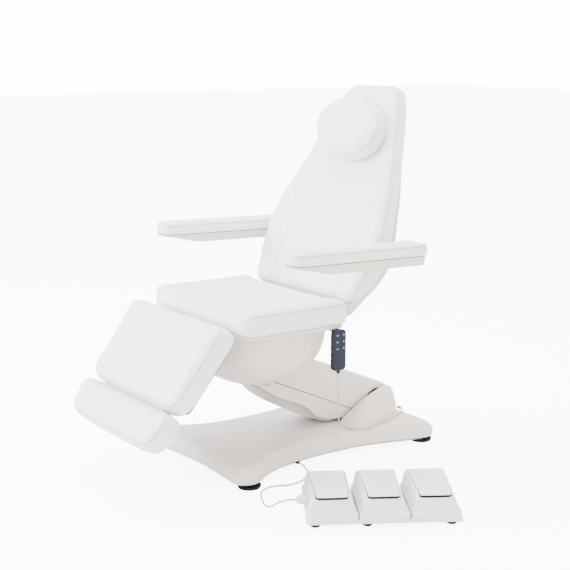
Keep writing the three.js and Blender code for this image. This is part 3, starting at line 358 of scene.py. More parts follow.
def leaning(y, z, degrees):
    return Matrix.Translation((0.0, y, z)) @ Matrix.Rotation(math.radians(degrees), 4, "X")


UPRIGHT = Matrix.Rotation(math.radians(90.0), 4, "X")
SEAT = leaning(-0.434, 0.533, -1.2)
BACK = leaning(0.031, 0.618, -25.1) @ UPRIGHT
LEG = leaning(-0.455, 0.530, -38.3) @ UPRIGHT
REST = leaning(-0.340, 0.826, -2.2)
ARM = leaning(0.330, 0.115, -23.4)


def settle(obj, matrix):
    """turn and move a piece from its own frame to the chair's, leaving its place in the mesh"""
    only(obj)
    obj.matrix_world = matrix
    bpy.ops.object.transform_apply(location=True, rotation=True, scale=True)
    return obj


def finish_modifier(obj, name):
    only(obj)
    bpy.ops.object.modifier_apply(modifier=name)


def smooth(obj, degrees=35.0):
    only(obj)
    bpy.ops.object.shade_smooth_by_angle(angle=math.radians(degrees))


def round_rim(points, steps=6):
    """a closed outline with each corner rounded by its own radius: (x, y, r)"""
    rim = []
    count = len(points)
    for i, (x, y, r) in enumerate(points):
        here = Vector((x, y))
        before = Vector(points[i - 1][:2]) - here
        after = Vector(points[(i + 1) % count][:2]) - here
        reach = min(r, 0.48 * before.length, 0.48 * after.length)
        a, b = here + before.normalized() * reach, here + after.normalized() * reach
        for k in range(steps + 1):
            t = k / steps
            rim.append(tuple(a * (1 - t) ** 2 + here * 2 * t * (1 - t) + b * t * t))
    return rim


def slab(name, rim, low, high):
    """a flat plate with that outline"""
    nothing_selected()
    bpy.ops.mesh.primitive_circle_add(vertices=len(rim), radius=0.1, fill_type="NGON")
    obj = bpy.context.object
    obj.name = obj.data.name = name
    for v, (x, y) in zip(obj.data.vertices, rim):
        v.co = (x, y, low)
    edit(obj)
    bpy.ops.mesh.select_all(action="SELECT")
    bpy.ops.mesh.extrude_region_move(TRANSFORM_OT_translate={"value": (0.0, 0.0, high - low)})
    bpy.ops.mesh.select_all(action="SELECT")
    bpy.ops.mesh.normals_make_consistent(inside=False)
    done()
    return obj


def pick_edges(obj, test):
    """in edit mode, select the edges whose two ends both pass"""
    edit(obj, "EDGE")
    done()
    co = [v.co.copy() for v in obj.data.vertices]
    for e in obj.data.edges:
        e.select = test(co[e.vertices[0]], co[e.vertices[1]])
    bpy.ops.object.mode_set(mode="EDIT")


def round_edges(obj, test, radius, segments=3):
    pick_edges(obj, test)
    bpy.ops.mesh.bevel(offset=radius, segments=segments, profile=0.5, affect="EDGES", clamp_overlap=True)
    done()


def at_height(z):
    return lambda a, b: abs(a.z - z) < 1e-5 and abs(b.z - z) < 1e-5


# ---------------------------------------------------------------- cords

HANDSET_ROUTE = [
    (0.314, -0.052, 0.3526), (0.314, -0.052, 0.3326), (0.312, -0.049, 0.3106), (0.308, -0.045, 0.2866), (0.301, -0.039, 0.2626),
    (0.290, -0.030, 0.2386), (0.276, -0.018, 0.2146), (0.256, -0.002, 0.1906), (0.234, 0.017, 0.1666), (0.210, 0.038, 0.1436),
    (0.188, 0.060, 0.1226), (0.170, 0.081, 0.1046), (0.160, 0.099, 0.091), (0.161, 0.112, 0.082), (0.172, 0.119, 0.0781),
    (0.188, 0.123, 0.0781), (0.202, 0.134, 0.0778), (0.210, 0.152, 0.0776), (0.213, 0.180, 0.0776), (0.210, 0.215, 0.0776),
    (0.204, 0.250, 0.0776), (0.196, 0.285, 0.0776), (0.186, 0.320, 0.0776), (0.173, 0.354, 0.0776), (0.158, 0.384, 0.0776),
    (0.146, 0.406, 0.0778), (0.136, 0.424, 0.0796), (0.126, 0.433, 0.0808), (0.1145, 0.434, 0.081),
]
CONTROL_ROUTE = [
    (0.5630, -0.4289, 0.058), (0.5505, -0.4475, 0.0576), (0.518, -0.468, 0.042), (0.488, -0.470, 0.020), (0.458, -0.466, 0.009),
    (0.428, -0.456, 0.0035), (0.398, -0.442, 0.0035), (0.368, -0.426, 0.0035), (0.342, -0.406, 0.0035), (0.324, -0.380, 0.0035),
    (0.317, -0.350, 0.0035), (0.326, -0.322, 0.0035), (0.340, -0.294, 0.0035), (0.344, -0.262, 0.0035), (0.336, -0.228, 0.0035),
    (0.320, -0.196, 0.0035), (0.297, -0.170, 0.0035), (0.270, -0.155, 0.0055), (0.246, -0.151, 0.011), (0.233, -0.150, 0.0144),
    (0.2165, -0.150, 0.0148),
]
CORD_R = 0.003


def strand(name, points):
    curve = bpy.data.curves.new(name, "CURVE")
    curve.dimensions = "3D"
    curve.bevel_depth = CORD_R
    curve.bevel_resolution = 4
    curve.resolution_u = 6
    curve.use_fill_caps = True
    spline = curve.splines.new("BEZIER")
    spline.bezier_points.add(len(points) - 1)
    for knot, point in zip(spline.bezier_points, points):
        knot.co = point
        knot.handle_left_type = knot.handle_right_type = "AUTO"
    obj = bpy.data.objects.new(name, curve)
    scene.collection.objects.link(obj)
    return obj


def cords():
    hanging = strand("handset_lead", HANDSET_ROUTE)
    only(hanging)
    bpy.ops.object.convert(target="MESH")
    hanging = bpy.context.object
    smooth(hanging, 60.0)
    dress(hanging, lead_jacket)
    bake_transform(hanging)
    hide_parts("handset_cord")
    lying = strand("control_lead", CONTROL_ROUTE)
    dress(lying, lead_jacket)
    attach(lying, "base")
    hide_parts("foot_control_cord")


cords()


# ---------------------------------------------------------------- padding

def stuff(obj, voxel, cap, held, pressure=4.0, frames=14):
    """fill a pad with pressure and take its cloth shape, no point moving further than the cap"""
    only(obj)
    grid = obj.modifiers.new("grid", "REMESH")
    grid.mode = "VOXEL"
    grid.voxel_size = voxel
    finish_modifier(obj, "grid")
    mesh = obj.data
    start = [v.co.copy() for v in mesh.vertices]
    pins = obj.vertex_groups.new(name="held")
    pins.add([v.index for v in mesh.vertices if held(v.co)], 1.0, "REPLACE")
    cloth = obj.modifiers.new("filling", "CLOTH")
    cloth.settings.use_pressure = True
    cloth.settings.uniform_pressure_force = pressure
    cloth.settings.effector_weights.gravity = 0.0
    cloth.settings.vertex_group_mass = "held"
    cloth.settings.quality = 4
    cloth.settings.tension_stiffness = 25.0
    cloth.settings.compression_stiffness = 25.0
    cloth.settings.bending_stiffness = 1.0
    cloth.point_cache.frame_start = 1
    cloth.point_cache.frame_end = frames
    for step in range(1, frames + 1):
        scene.frame_set(step)
    shaped = obj.evaluated_get(bpy.context.evaluated_depsgraph_get()).data
    moved = [v.co.copy() for v in shaped.vertices]
    obj.modifiers.remove(cloth)
    scene.frame_set(1)
    for v, a, b in zip(mesh.vertices, start, moved):
        step = b - a
        v.co = a + step * min(1.0, cap / max(step.length, 1e-9))
    obj.vertex_groups.clear()
    return obj


def refine(obj, iterations=2):
    only(obj)
    soft = obj.modifiers.new("soft", "SMOOTH")
    soft.iterations = iterations
    soft.factor = 0.5
    finish_modifier(obj, "soft")
    fine = obj.modifiers.new("fine", "SUBSURF")
    fine.levels = fine.render_levels = 1
    finish_modifier(obj, "fine")
    return obj


def sew(obj, edge=None, face=None, valley=0.0016, reach=0.007):
    """press the seams in and note each point's distance from them, in millimetres"""
    mesh = obj.data
    for label, line in (("edge", edge), ("face", face)):
        far = mesh.attributes.new(f"seam_{label}", "FLOAT", "POINT")
        along = mesh.attributes.new(f"along_{label}", "FLOAT", "POINT")
        distances, runs = [], []
        normals = [v.normal.copy() for v in mesh.vertices]
        for v, n in zip(mesh.vertices, normals):
            d, run = line(v.co, n) if line else (0.05, 0.0)
            distances.append(d * 1000.0)
            runs.append(run * 1000.0)
            if line and abs(d) < reach:
                v.co = v.co - n * valley * (1.0 - (d / reach) ** 2) ** 2
        far.data.foreach_set("value", distances)
        along.data.foreach_set("value", runs)
    mesh.update()
    only(obj)
    bpy.ops.object.shade_smooth()
    return obj


def smoothstep(lo, hi, x):
    t = max(0.0, min(1.0, (x - lo) / (hi - lo)))
    return t * t * (3.0 - 2.0 * t)


def upholster(obj, matrix, body, node):
    settle(obj, matrix)
    dress(obj, white_leather)
    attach(obj, body)
    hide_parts(node)
    return obj


# ---------------------------------------------------------------- seat cushion

SEAT_W = 0.315
SEAT_L = 0.437


def seat_top(x, y):
    """raised sides, two hollows for the thighs and a low ridge between them at the front"""
    front = 1.0 - smoothstep(0.10, 0.30, y)
    hollow = smoothstep(0.028, 0.085, abs(x)) * (1.0 - smoothstep(0.19, 0.285, abs(x)))
    dish = 0.006 * (1.0 - smoothstep(0.18, 0.29, abs(x)))
    return -(0.015 * hollow * front + dish * (1.0 - front))


def seat_cushion():
    w, l = SEAT_W - 0.003, SEAT_L
    rim = round_rim([(w, 0.003, 0.042), (w, l - 0.003, 0.034), (-w, l - 0.003, 0.034), (-w, 0.003, 0.042)])
    obj = slab("seat_pad", rim, 0.0005, 0.079)
    round_edges(obj, at_height(0.079), 0.012, 3)
    round_edges(obj, at_height(0.0005), 0.010, 3)
    stuff(obj, 0.006, 0.005, lambda c: c.z < 0.012)
    for v in obj.data.vertices:
        if v.co.z > 0.035:
            v.co.z += seat_top(v.co.x, v.co.y) * smoothstep(0.035, 0.07, v.co.z)
    refine(obj)

    def edge(c, n):
        top = 0.079 + seat_top(c.x, c.y)
        run = c.y if abs(n.x) > abs(n.y) else c.x
        return (c.z - (top - 0.010)) if n.z < 0.9 else 0.05, run
    sew(obj, edge)
    return upholster(obj, SEAT, "seat_platform", "seat_cushion")


# ---------------------------------------------------------------- backrest cushion

BACK_RIM = [(0.290, -0.034, 0.035), (0.326, 0.120, 0.10), (0.331, 0.232, 0.10), (0.290, 0.400, 0.16),
            (0.182, 0.712, 0.09), (0.132, 0.803, 0.085)]


def back_seam(u):
    """half width of the middle panel up the face"""
    line = [(-0.02, 0.201), (0.05, 0.196), (0.11, 0.191), (0.20, 0.194), (0.25, 0.198), (0.29, 0.205),
            (0.325, 0.219), (0.367, 0.251), (0.400, 0.280), (0.43, 0.33)]
    for (u0, w0), (u1, w1) in zip(line, line[1:]):
        if u <= u1:
            return w0 + (w1 - w0) * max(0.0, (u - u0) / (u1 - u0))
    return 0.5


def back_depth(u):
    """thickness of the cushion at a height"""
    line = [(-0.03, 0.024), (0.04, 0.058), (0.12, 0.074), (0.19, 0.066), (0.33, 0.057), (0.60, 0.056), (0.80, 0.052)]
    for (u0, t0), (u1, t1) in zip(line, line[1:]):
        if u <= u1:
            return t0 + (t1 - t0) * max(0.0, (u - u0) / (u1 - u0))
    return 0.052


def back_cushion():
    right = [(x - 0.002, u, r) for x, u, r in BACK_RIM]
    rim = round_rim(right + [(-x, u, r) for x, u, r in reversed(right)])
    obj = slab("back_pad", rim, -0.050, -0.001)
    round_edges(obj, at_height(-0.001), 0.012, 3)
    round_edges(obj, at_height(-0.050), 0.008, 2)
    stuff(obj, 0.007, 0.006, lambda c: c.z < -0.046)
    for v in obj.data.vertices:
        c = v.co
        deep = smoothstep(-0.012, -0.045, c.z)
        c.z -= (back_depth(c.y) - 0.050) * deep
        face = smoothstep(-0.030, -0.006, c.z)
        inside = back_seam(c.y) - abs(c.x)
        wing = smoothstep(0.0, -0.05, inside) * (1.0 - smoothstep(0.34, 0.42, c.y))
        c.z += face * 0.006 * wing
        c.z -= face * 0.004 * smoothstep(0.0, 0.10, inside) * smoothstep(0.7, 0.5, c.y) * smoothstep(0.0, 0.1, c.y)
    refine(obj)

    def edge(c, n):
        run = c.y if abs(n.x) > 0.3 else c.x
        return (c.z + 0.011) if n.z < 0.93 else 0.05, run

    def face(c, n):
        if c.y > 0.72 and n.z > -0.5:
            return c.x, c.y - c.z
        if n.z < 0.5 or c.y > 0.42:
            return 0.05, 0.0
        return abs(c.x) - back_seam(c.y), c.y
    sew(obj, edge, face)
    return upholster(obj, BACK, "backrest", "backrest_cushion")


# ---------------------------------------------------------------- pillow

def head_pillow():
    count = 56
    rim = []
    for i in range(count):
        a = 2 * math.pi * i / count
        x, u = 0.176 * math.copysign(abs(math.cos(a)) ** 0.92, math.cos(a)), 0.118 * math.sin(a)
        rim.append((x + 0.004, 0.600 + u - 0.10 * x))
    obj = slab("pillow_pad", rim, 0.002, 0.070)
    round_edges(obj, at_height(0.070), 0.016, 4)
    round_edges(obj, at_height(0.002), 0.020, 4)
    stuff(obj, 0.005, 0.012, lambda c: c.z < 0.006, 6.0)
    refine(obj)

    def edge(c, n):
        return (c.z - 0.056) if n.z < 0.95 else 0.05, math.atan2(c.y - 0.61, c.x) * 0.15
    sew(obj, edge)
    return upholster(obj, BACK, "head_pillow", "head_pillow")


# ---------------------------------------------------------------- leg rest pads

def leg_pad(name, node, body, near, far, w_near, w_far, r_near, r_far, low, high, lean):
    rim = round_rim([(w_far, -far, r_far), (w_near, -near, r_near), (-w_near, -near, r_near), (-w_far, -far, r_far)])
    obj = slab(name, rim, low, high)
    round_edges(obj, at_height(high), 0.015, 3)
    round_edges(obj, at_height(low), 0.012, 3)
    stuff(obj, 0.006, 0.006, lambda c: c.z < low + 0.005)
    refine(obj)

    def edge(c, n):
        run = c.y if abs(n.x) > 0.5 else c.x
        return (c.z - (high - 0.009)) if n.z < 0.93 else 0.05, run

    def face(c, n):
        if n.z < 0.6:
            return 0.05, 0.0
        return abs(c.x) - (0.204 + lean * (c.y + near)), c.y
    sew(obj, edge, face)
    return upholster(obj, LEG, body, node)


def leg_pads():
    leg_pad("calf_pad", "calf_cushion", "leg_rest", -0.010, 0.319, 0.300, 0.287, 0.052, 0.078, 0.0125, 0.0850, 0.0)
    leg_pad("foot_pad", "foot_cushion", "foot_rest", 0.3245, 0.460, 0.288, 0.272, 0.045, 0.075, 0.0125, 0.0910, 0.06)


# ---------------------------------------------------------------- armrests

def armrest(side, x):
    half, length = 0.0515, 0.586
    rim = round_rim([(x + half, 0.002, 0.052), (x + half, length - 0.002, 0.022), (x - half, length - 0.002, 0.022), (x - half, 0.002, 0.052)])
    obj = slab(f"armrest_pad_{side}", rim, -0.0435, -0.001)
    round_edges(obj, at_height(-0.001), 0.008, 3)
    round_edges(obj, at_height(-0.0435), 0.008, 3)
    stuff(obj, 0.005, 0.003, lambda c: c.z < -0.040)
    refine(obj)

    def edge(c, n):
        run = c.y if abs(n.x) > 0.5 else c.x
        return (c.z + 0.0105) if n.z < 0.93 else 0.05, run
    sew(obj, edge)
    upholster(obj, REST, f"armrest_{side}", f"armrest_cushion_{side}")

    w, top = half - 0.005, -0.0448
    rim = round_rim([(x + w, 0.006, 0.045), (x + w, length - 0.010, 0.016), (x - w, length - 0.010, 0.016), (x - w, 0.006, 0.045)], 8)
    tray = slab(f"armrest_shell_{side}", rim, top - 0.032, top)
    edit(tray)
    bpy.ops.mesh.select_all(action="SELECT")
    done()
    for cut_y in (0.02, 0.04, 0.06, 0.08, 0.10, 0.13, 0.16, 0.20):
        edit(tray)
        bpy.ops.mesh.select_all(action="SELECT")
        bpy.ops.mesh.bisect(plane_co=(x, cut_y, 0.0), plane_no=(0.0, 1.0, 0.0))
        done()
    for v in tray.data.vertices:
        if v.co.z < top - 0.001:
            rise = 1.0 - smoothstep(0.0, 1.0, max(0.0, v.co.y) / 0.17)
            v.co.z += 0.026 * rise
            v.co.x = x + (v.co.x - x) * 0.90
    round_edges(tray, lambda a, b: a.z < top - 0.004 and b.z < top - 0.004 and (abs(abs(a.x - x) - w * 0.90) < 0.001 or a.y < 0.06 or a.y > length - 0.03)
                and not abs(a.x - b.x) > 0.03, 0.006, 3)
    smooth(tray, 40.0)
    settle(tray, REST)
    dress(tray, cover_shell)
    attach(tray, f"armrest_{side}")
    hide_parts(f"armrest_tray_{side}")


# ---------------------------------------------------------------- moulded covers

def side_slab(name, rim, x0, x1):
    """a side outline (along, up) carried across from x0 to x1"""
    obj = slab(name, rim, x0, x1)
    for v in obj.data.vertices:
        v.co = (v.co.z, v.co.x, v.co.y)
    return obj


def trim(obj, tool, way="DIFFERENCE"):
    """cut obj with a tool piece, which is used up"""
    only(obj)
    cutter = obj.modifiers.new("cutter", "BOOLEAN")
    cutter.operation = way
    cutter.solver = "EXACT"
    cutter.object = tool
    finish_modifier(obj, "cutter")
    bpy.data.objects.remove(tool, do_unlink=True)
    return obj


def brick(x0, x1, y0, y1, z0, z1):
    nothing_selected()
    bpy.ops.mesh.primitive_cube_add(size=1.0)
    obj = bpy.context.object
    for v in obj.data.vertices:
        v.co = (x0 if v.co.x < 0 else x1, y0 if v.co.y < 0 else y1, z0 if v.co.z < 0 else z1)
    return obj


def merge_in(obj, *others):
    nothing_selected()
    for other in others:
        other.select_set(True)
    obj.select_set(True)
    bpy.context.view_layer.objects.active = obj
    bpy.ops.object.join()
    return obj


def remesh(obj, voxel, rounds):
    only(obj)
    grid = obj.modifiers.new("grid", "REMESH")
    grid.mode = "VOXEL"
    grid.voxel_size = voxel
    finish_modifier(obj, "grid")
    if rounds:
        soft = obj.modifiers.new("soft", "SMOOTH")
        soft.iterations = rounds
        soft.factor = 0.5
        finish_modifier(obj, "soft")
    return obj


def moulding(obj, node, body, mat, degrees=35.0):
    smooth(obj, degrees)
    dress(obj, mat)
    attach(obj, body)
    if node:
        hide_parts(node)
    return obj


BASE_PLAN = [(0.0, -0.440, 0.06), (0.280, -0.460, 0.05), (0.310, -0.402, 0.034), (0.226, -0.266, 0.09), (0.206, -0.060, 0.08),
             (0.222, 0.160, 0.09), (0.310, 0.404, 0.036), (0.290, 0.450, 0.026), (0.0, 0.450, 0.04)]
SLOT = 0.098


def base_rim():
    left = [(-x, y, r) for x, y, r in BASE_PLAN[1:-1]]
    return round_rim(BASE_PLAN + left[::-1], 8)


def base_blank(name):
    """the whole base: upright walls and a broad sloping band up to the flat top"""
    obj = slab(name, base_rim(), 0.0215, 0.0745)
    round_edges(obj, at_height(0.0745), 0.026, 1)
    pick_edges(obj, lambda a, b: abs(a.z - b.z) < 1e-4 and a.z > 0.03)
    bpy.ops.mesh.bevel(offset=0.004, segments=3, profile=0.5, affect="EDGES", clamp_overlap=True)
    done()
    return obj


def fairing():
    """the housing over the lower pivot: its foot on the cover and its ridge beside the arm"""
    foot = [(0.098, 0.138), (0.156, 0.124), (0.190, 0.136), (0.198, 0.176), (0.184, 0.268), (0.154, 0.364), (0.122, 0.402), (0.098, 0.426)]
    ridge = [(0.148, 0.076), (0.172, 0.098), (0.197, 0.117), (0.235, 0.138), (0.271, 0.156), (0.330, 0.176), (0.370, 0.184), (0.392, 0.178),
             (0.411, 0.152), (0.426, 0.100)]
    nothing_selected()
    bpy.ops.mesh.primitive_circle_add(vertices=2 * (2 * len(foot) + len(ridge)) + 8, radius=0.1)
    obj = bpy.context.object
    obj.name = obj.data.name = "pivot_fairing"
    points = []
    for side in (-1.0, 1.0):
        points += [(side * x, y, z) for x, y in foot for z in (0.050, 0.074)]
        points += [(side * (SLOT + 0.001), y, z) for y, z in ridge]
        points += [(side * 0.168, 0.200, 0.098), (side * 0.160, 0.270, 0.118), (side * 0.140, 0.340, 0.122), (side * 0.160, 0.158, 0.088)]
    for v, p in zip(obj.data.vertices, points):
        v.co = p
    edit(obj, "VERT")
    bpy.ops.mesh.select_all(action="SELECT")
    bpy.ops.mesh.convex_hull()
    done()
    remesh(obj, 0.004, 14)
    return obj


def split_line(offset):
    return [(-0.6, 0.024 + offset), (-0.212, 0.024 + offset), (-0.092, 0.152 + offset), (0.092, 0.152 + offset), (0.212, 0.024 + offset), (0.6, 0.024 + offset)]


def base_covers():
    front = base_blank("base_front_shell")
    ahead = slab("ahead", split_line(-0.0006) + [(0.6, -0.8), (-0.6, -0.8)], -0.1, 0.4)
    trim(front, ahead, "INTERSECT")
    trim(front, slab("hollow", [(x * 0.84, y * 0.90) for x, y in base_rim()], -0.05, 0.0705))
    rear = base_blank("base_rear_shell")
    merge = fairing()
    trim(rear, merge, "UNION")
    behind = slab("behind", split_line(0.0006) + [(0.6, 0.8), (-0.6, 0.8)], -0.1, 0.4)
    trim(rear, behind, "INTERSECT")
    trim(rear, brick(-SLOT, SLOT, 0.10, 0.420, -0.05, 0.4))
    trim(rear, brick(-0.1505, -0.1015, 0.41, 0.47, 0.0315, 0.0605))
    for obj, node in ((front, "base_front_cover"), (rear, "base_rear_cover")):
        moulding(obj, node, "base", cover_shell, 38.0)


def ring_points(y, r, a0, a1, steps):
    return [(y + r * math.cos(math.radians(a0 + (a1 - a0) * i / steps)), r * math.sin(math.radians(a0 + (a1 - a0) * i / steps)))
            for i in range(steps + 1)]


ARM_L = 0.570


def seam_z(y):
    return -0.054 + (0.066 - y) / 0.694 * 0.020


def arm_covers():
    low = ring_points(0.0, 0.084, -40.0, 90.0, 22)
    high = ring_points(-ARM_L, 0.068, 120.0, 208.0, 12)
    top = low + [(-0.20, 0.084), (-0.40, 0.0835), (-0.47, 0.080), (-0.53, 0.072)] + high
    upper = side_slab("arm_top_shell", top, -0.085, 0.085)
    side_pick = lambda a, b: abs(a.x - b.x) < 1e-4 and (a.z > seam_z(a.y) + 0.004 or b.z > seam_z(b.y) + 0.004)
    round_edges(upper, side_pick, 0.013, 5)
    trim(upper, side_slab("room", ring_points(0.0, 0.060, 0.0, 345.0, 23), -0.2, 0.2))
    wave = round_rim([(0.055, -0.056, 0.01), (-0.02, -0.074, 0.05), (-0.126, -0.086, 0.05), (-0.200, -0.112, 0.05), (-0.268, -0.117, 0.03),
                      (-0.312, -0.098, 0.04), (-0.370, -0.087, 0.05), (-0.470, -0.089, 0.05), (-0.575, -0.070, 0.05),
                      (-0.632, -0.0355, 0.01)], 6)
    lower = side_slab("arm_side_shell", [(y, min(z, seam_z(y) - 0.0012)) for y, z in wave], -0.085, 0.085)
    round_edges(lower, lambda a, b: abs(a.x - b.x) < 1e-4 and min(a.z, b.z) < -0.060, 0.010, 4)
    belly = side_slab("arm_belly_shell", round_rim([(-0.566, -0.076, 0.02), (-0.498, -0.107, 0.06), (-0.406, -0.124, 0.08),
                      (-0.293, -0.130, 0.06), (-0.200, -0.124, 0.05), (-0.170, -0.112, 0.02), (-0.190, -0.080, 0.01), (-0.540, -0.064, 0.01)], 6), -0.070, 0.070)
    round_edges(belly, lambda a, b: abs(a.x - b.x) < 1e-4 and min(a.z, b.z) < -0.078, 0.012, 4)
    for obj, node, mat, slot_name in ((upper, "arm_top_cover", cover_shell, "cover"), (lower, "arm_side_cover", cover_shell, "cover"),
                                      (belly, "arm_belly_cover", belly_shell, "belly")):
        settle(obj, ARM)
        moulding(obj, node, "lift_arm", mat, 40.0)


# ---------------------------------------------------------------- seat shroud and lip

def shroud():
    """a deep bowl under the seat, with a flatter front facet and low ripples on its flanks"""
    nothing_selected()
    bpy.ops.mesh.primitive_uv_sphere_add(segments=160, ring_count=96, radius=1.0)
    obj = bpy.context.object
    obj.name = obj.data.name = "seat_shroud_shell"
    for v in obj.data.vertices:
        x, y, z = v.co
        power = 2.35
        norm = (abs(x) ** power + abs(y) ** power + abs(z) ** power) ** (1.0 / power)
        x, y, z = x / norm * 0.272, y / norm * 0.238, z / norm * 0.228
        down = smoothstep(0.0, -0.20, z)
        y -= 0.012 * down * (1.0 if y < 0 else 0.2)
        # crescents pressed into the rear half of each flank
        turn = math.atan2(z, y + 0.10)
        reach = math.hypot(y + 0.10, z * 1.05)
        flank = smoothstep(0.10, 0.20, abs(x)) * smoothstep(-0.14, 0.02, y) * smoothstep(0.0, -0.03, z)
        wave = math.sin((reach - 0.045) * 2.0 * math.pi / 0.062)
        x *= 1.0 + 0.022 * flank * wave * smoothstep(0.235, 0.18, reach)
        v.co = (x, y - 0.196, z + 0.514)
    lid = brick(-0.5, 0.5, -0.2, 0.9, 0.0, 0.4)
    settle(lid, leaning(-0.434, 0.533 - 0.0165, -1.2))
    trim(obj, lid)
    slot = round_rim([(-0.262, 0.20, 0.0), (-0.262, 0.335, 0.03), (-0.120, 0.425, 0.03), (-0.009, 0.360, 0.02), (0.28, 0.236, 0.0), (0.28, 0.18, 0.0)], 4)
    trim(obj, side_slab("way", slot, -0.0945, 0.0945))
    moulding(obj, "seat_shroud", "seat_platform", cover_shell, 45.0)


def seat_trim():
    rim = round_rim([(0.300, 0.014, 0.070), (0.300, 0.440, 0.060), (-0.300, 0.440, 0.060), (-0.300, 0.014, 0.070)], 10)
    obj = slab("seat_trim_lip", rim, -0.0168, -0.0006)
    round_edges(obj, at_height(-0.0168), 0.0055, 3)
    round_edges(obj, at_height(-0.0006), 0.0045, 3)
    settle(obj, SEAT)
    moulding(obj, "seat_lip", "seat_platform", cover_shell, 40.0)


# ---------------------------------------------------------------- backrest shell

def back_shell():
    """the moulded back pan: thick at the lumbar, running out to nothing at the top"""
    right = [(max(0.10, x - 0.012), min(u, 0.640) if u > 0 else -0.078, r) for x, u, r in BACK_RIM]
    right[0] = (0.262, -0.078, 0.03)
    right.insert(1, (0.279, 0.02, 0.05))
    rim = round_rim(right + [(-x, u, r) for x, u, r in reversed(right)])
    obj = slab("back_shell", rim, -0.040, 0.0)
    round_edges(obj, at_height(-0.040), 0.014, 4)
    remesh(obj, 0.005, 3)
    near = [(-0.09, 0.020), (-0.03, 0.027), (0.04, 0.064), (0.12, 0.078), (0.19, 0.070), (0.33, 0.058), (0.70, 0.055)]
    deep = [(-0.09, 0.044), (-0.046, 0.062), (0.056, 0.099), (0.128, 0.106), (0.19, 0.094), (0.30, 0.080), (0.60, 0.066), (0.70, 0.060)]

    def level(line, u):
        for (u0, t0), (u1, t1) in zip(line, line[1:]):
            if u <= u1:
                return t0 + (t1 - t0) * max(0.0, (u - u0) / (u1 - u0))
        return line[-1][1]
    for v in obj.data.vertices:
        c = v.co
        a, b = level(near, c.y), level(deep, c.y)
        c.z = -(a + (b - a) * min(1.0, max(0.0, -c.z / 0.040)))
    settle(obj, BACK)
    moulding(obj, "backrest_shell", "backrest", cover_shell, 50.0)


# ---------------------------------------------------------------- handset

def handset_and_keys():
    rim = round_rim([(0.028, -0.146, 0.016), (0.028, 0.0, 0.016), (-0.028, 0.0, 0.016), (-0.028, -0.146, 0.016)], 6)
    hand = Matrix.Translation((0.303, -0.052, 0.511)) @ Matrix.Rotation(math.radians(90.0), 4, "Z") @ UPRIGHT
    obj = slab("handset_case", rim, 0.0, 0.022)
    round_edges(obj, at_height(0.022), 0.005, 4)
    round_edges(obj, at_height(0.0), 0.003, 3)
    sleeve = slab("sleeve", round_rim([(0.005, -0.158, 0.0049), (0.005, -0.142, 0.0049), (-0.005, -0.142, 0.0049), (-0.005, -0.158, 0.0049)], 4), 0.0065, 0.0155)
    for row in range(3):
        for column in (-1.0, 1.0):
            a, b = column * 0.014, -0.017 - 0.024 * row
            trim(obj, slab("well", round_rim([(a + 0.0069, b - 0.0049, 0.0025), (a + 0.0069, b + 0.0049, 0.0025),
                 (a - 0.0069, b + 0.0049, 0.0025), (a - 0.0069, b - 0.0049, 0.0025)], 3), 0.0175, 0.04))
    merge_in(obj, sleeve)
    settle(obj, hand)
    moulding(obj, "handset", "handset", handset_shell, 40.0)
    marks = {"up": [(0.0, 0.0024), (-0.0034, -0.0016), (0.0034, -0.0016)], "down": [(0.0, -0.0024), (0.0034, 0.0016), (-0.0034, 0.0016)]}
    for row, use_for in enumerate(("lift", "back", "leg")):
        for column, way in ((-1.0, "up"), (1.0, "down")):
            a, b = column * 0.014, -0.017 - 0.024 * row
            key = slab(f"key_{use_for}_{way}", round_rim([(a + 0.0065, b - 0.0045, 0.0028), (a + 0.0065, b + 0.0045, 0.0028),
                       (a - 0.0065, b + 0.0045, 0.0028), (a - 0.0065, b - 0.0045, 0.0028)], 4), 0.0201, 0.0232)
            round_edges(key, at_height(0.0232), 0.0008, 2)
            settle(key, hand)
            moulding(key, f"button_{use_for}_{way}", f"button_{use_for}_{way}", key_blue if row == 0 else key_rubber, 40.0)
            mark = slab(f"mark_{use_for}_{way}", [(a + p, b + q) for p, q in marks[way]], 0.0231, 0.0234)
            settle(mark, hand)
            moulding(mark, None, f"button_{use_for}_{way}", key_print)


# ---------------------------------------------------------------- foot control

CONTROL = Matrix.Translation((0.6842, -0.1798, 0.0)) @ Matrix.Rotation(math.radians(56.6), 4, "Z")


def plate_plan(y0, y1, room):
    a, b = 0.050 + room, 0.058 + room
    return round_rim([(a, y0, 0.011), (b, y1, 0.004), (-b, y1, 0.004), (-a, y0, 0.011)], 5)


def shifted(rim, x):
    return [(p + x, q) for p, q in rim]


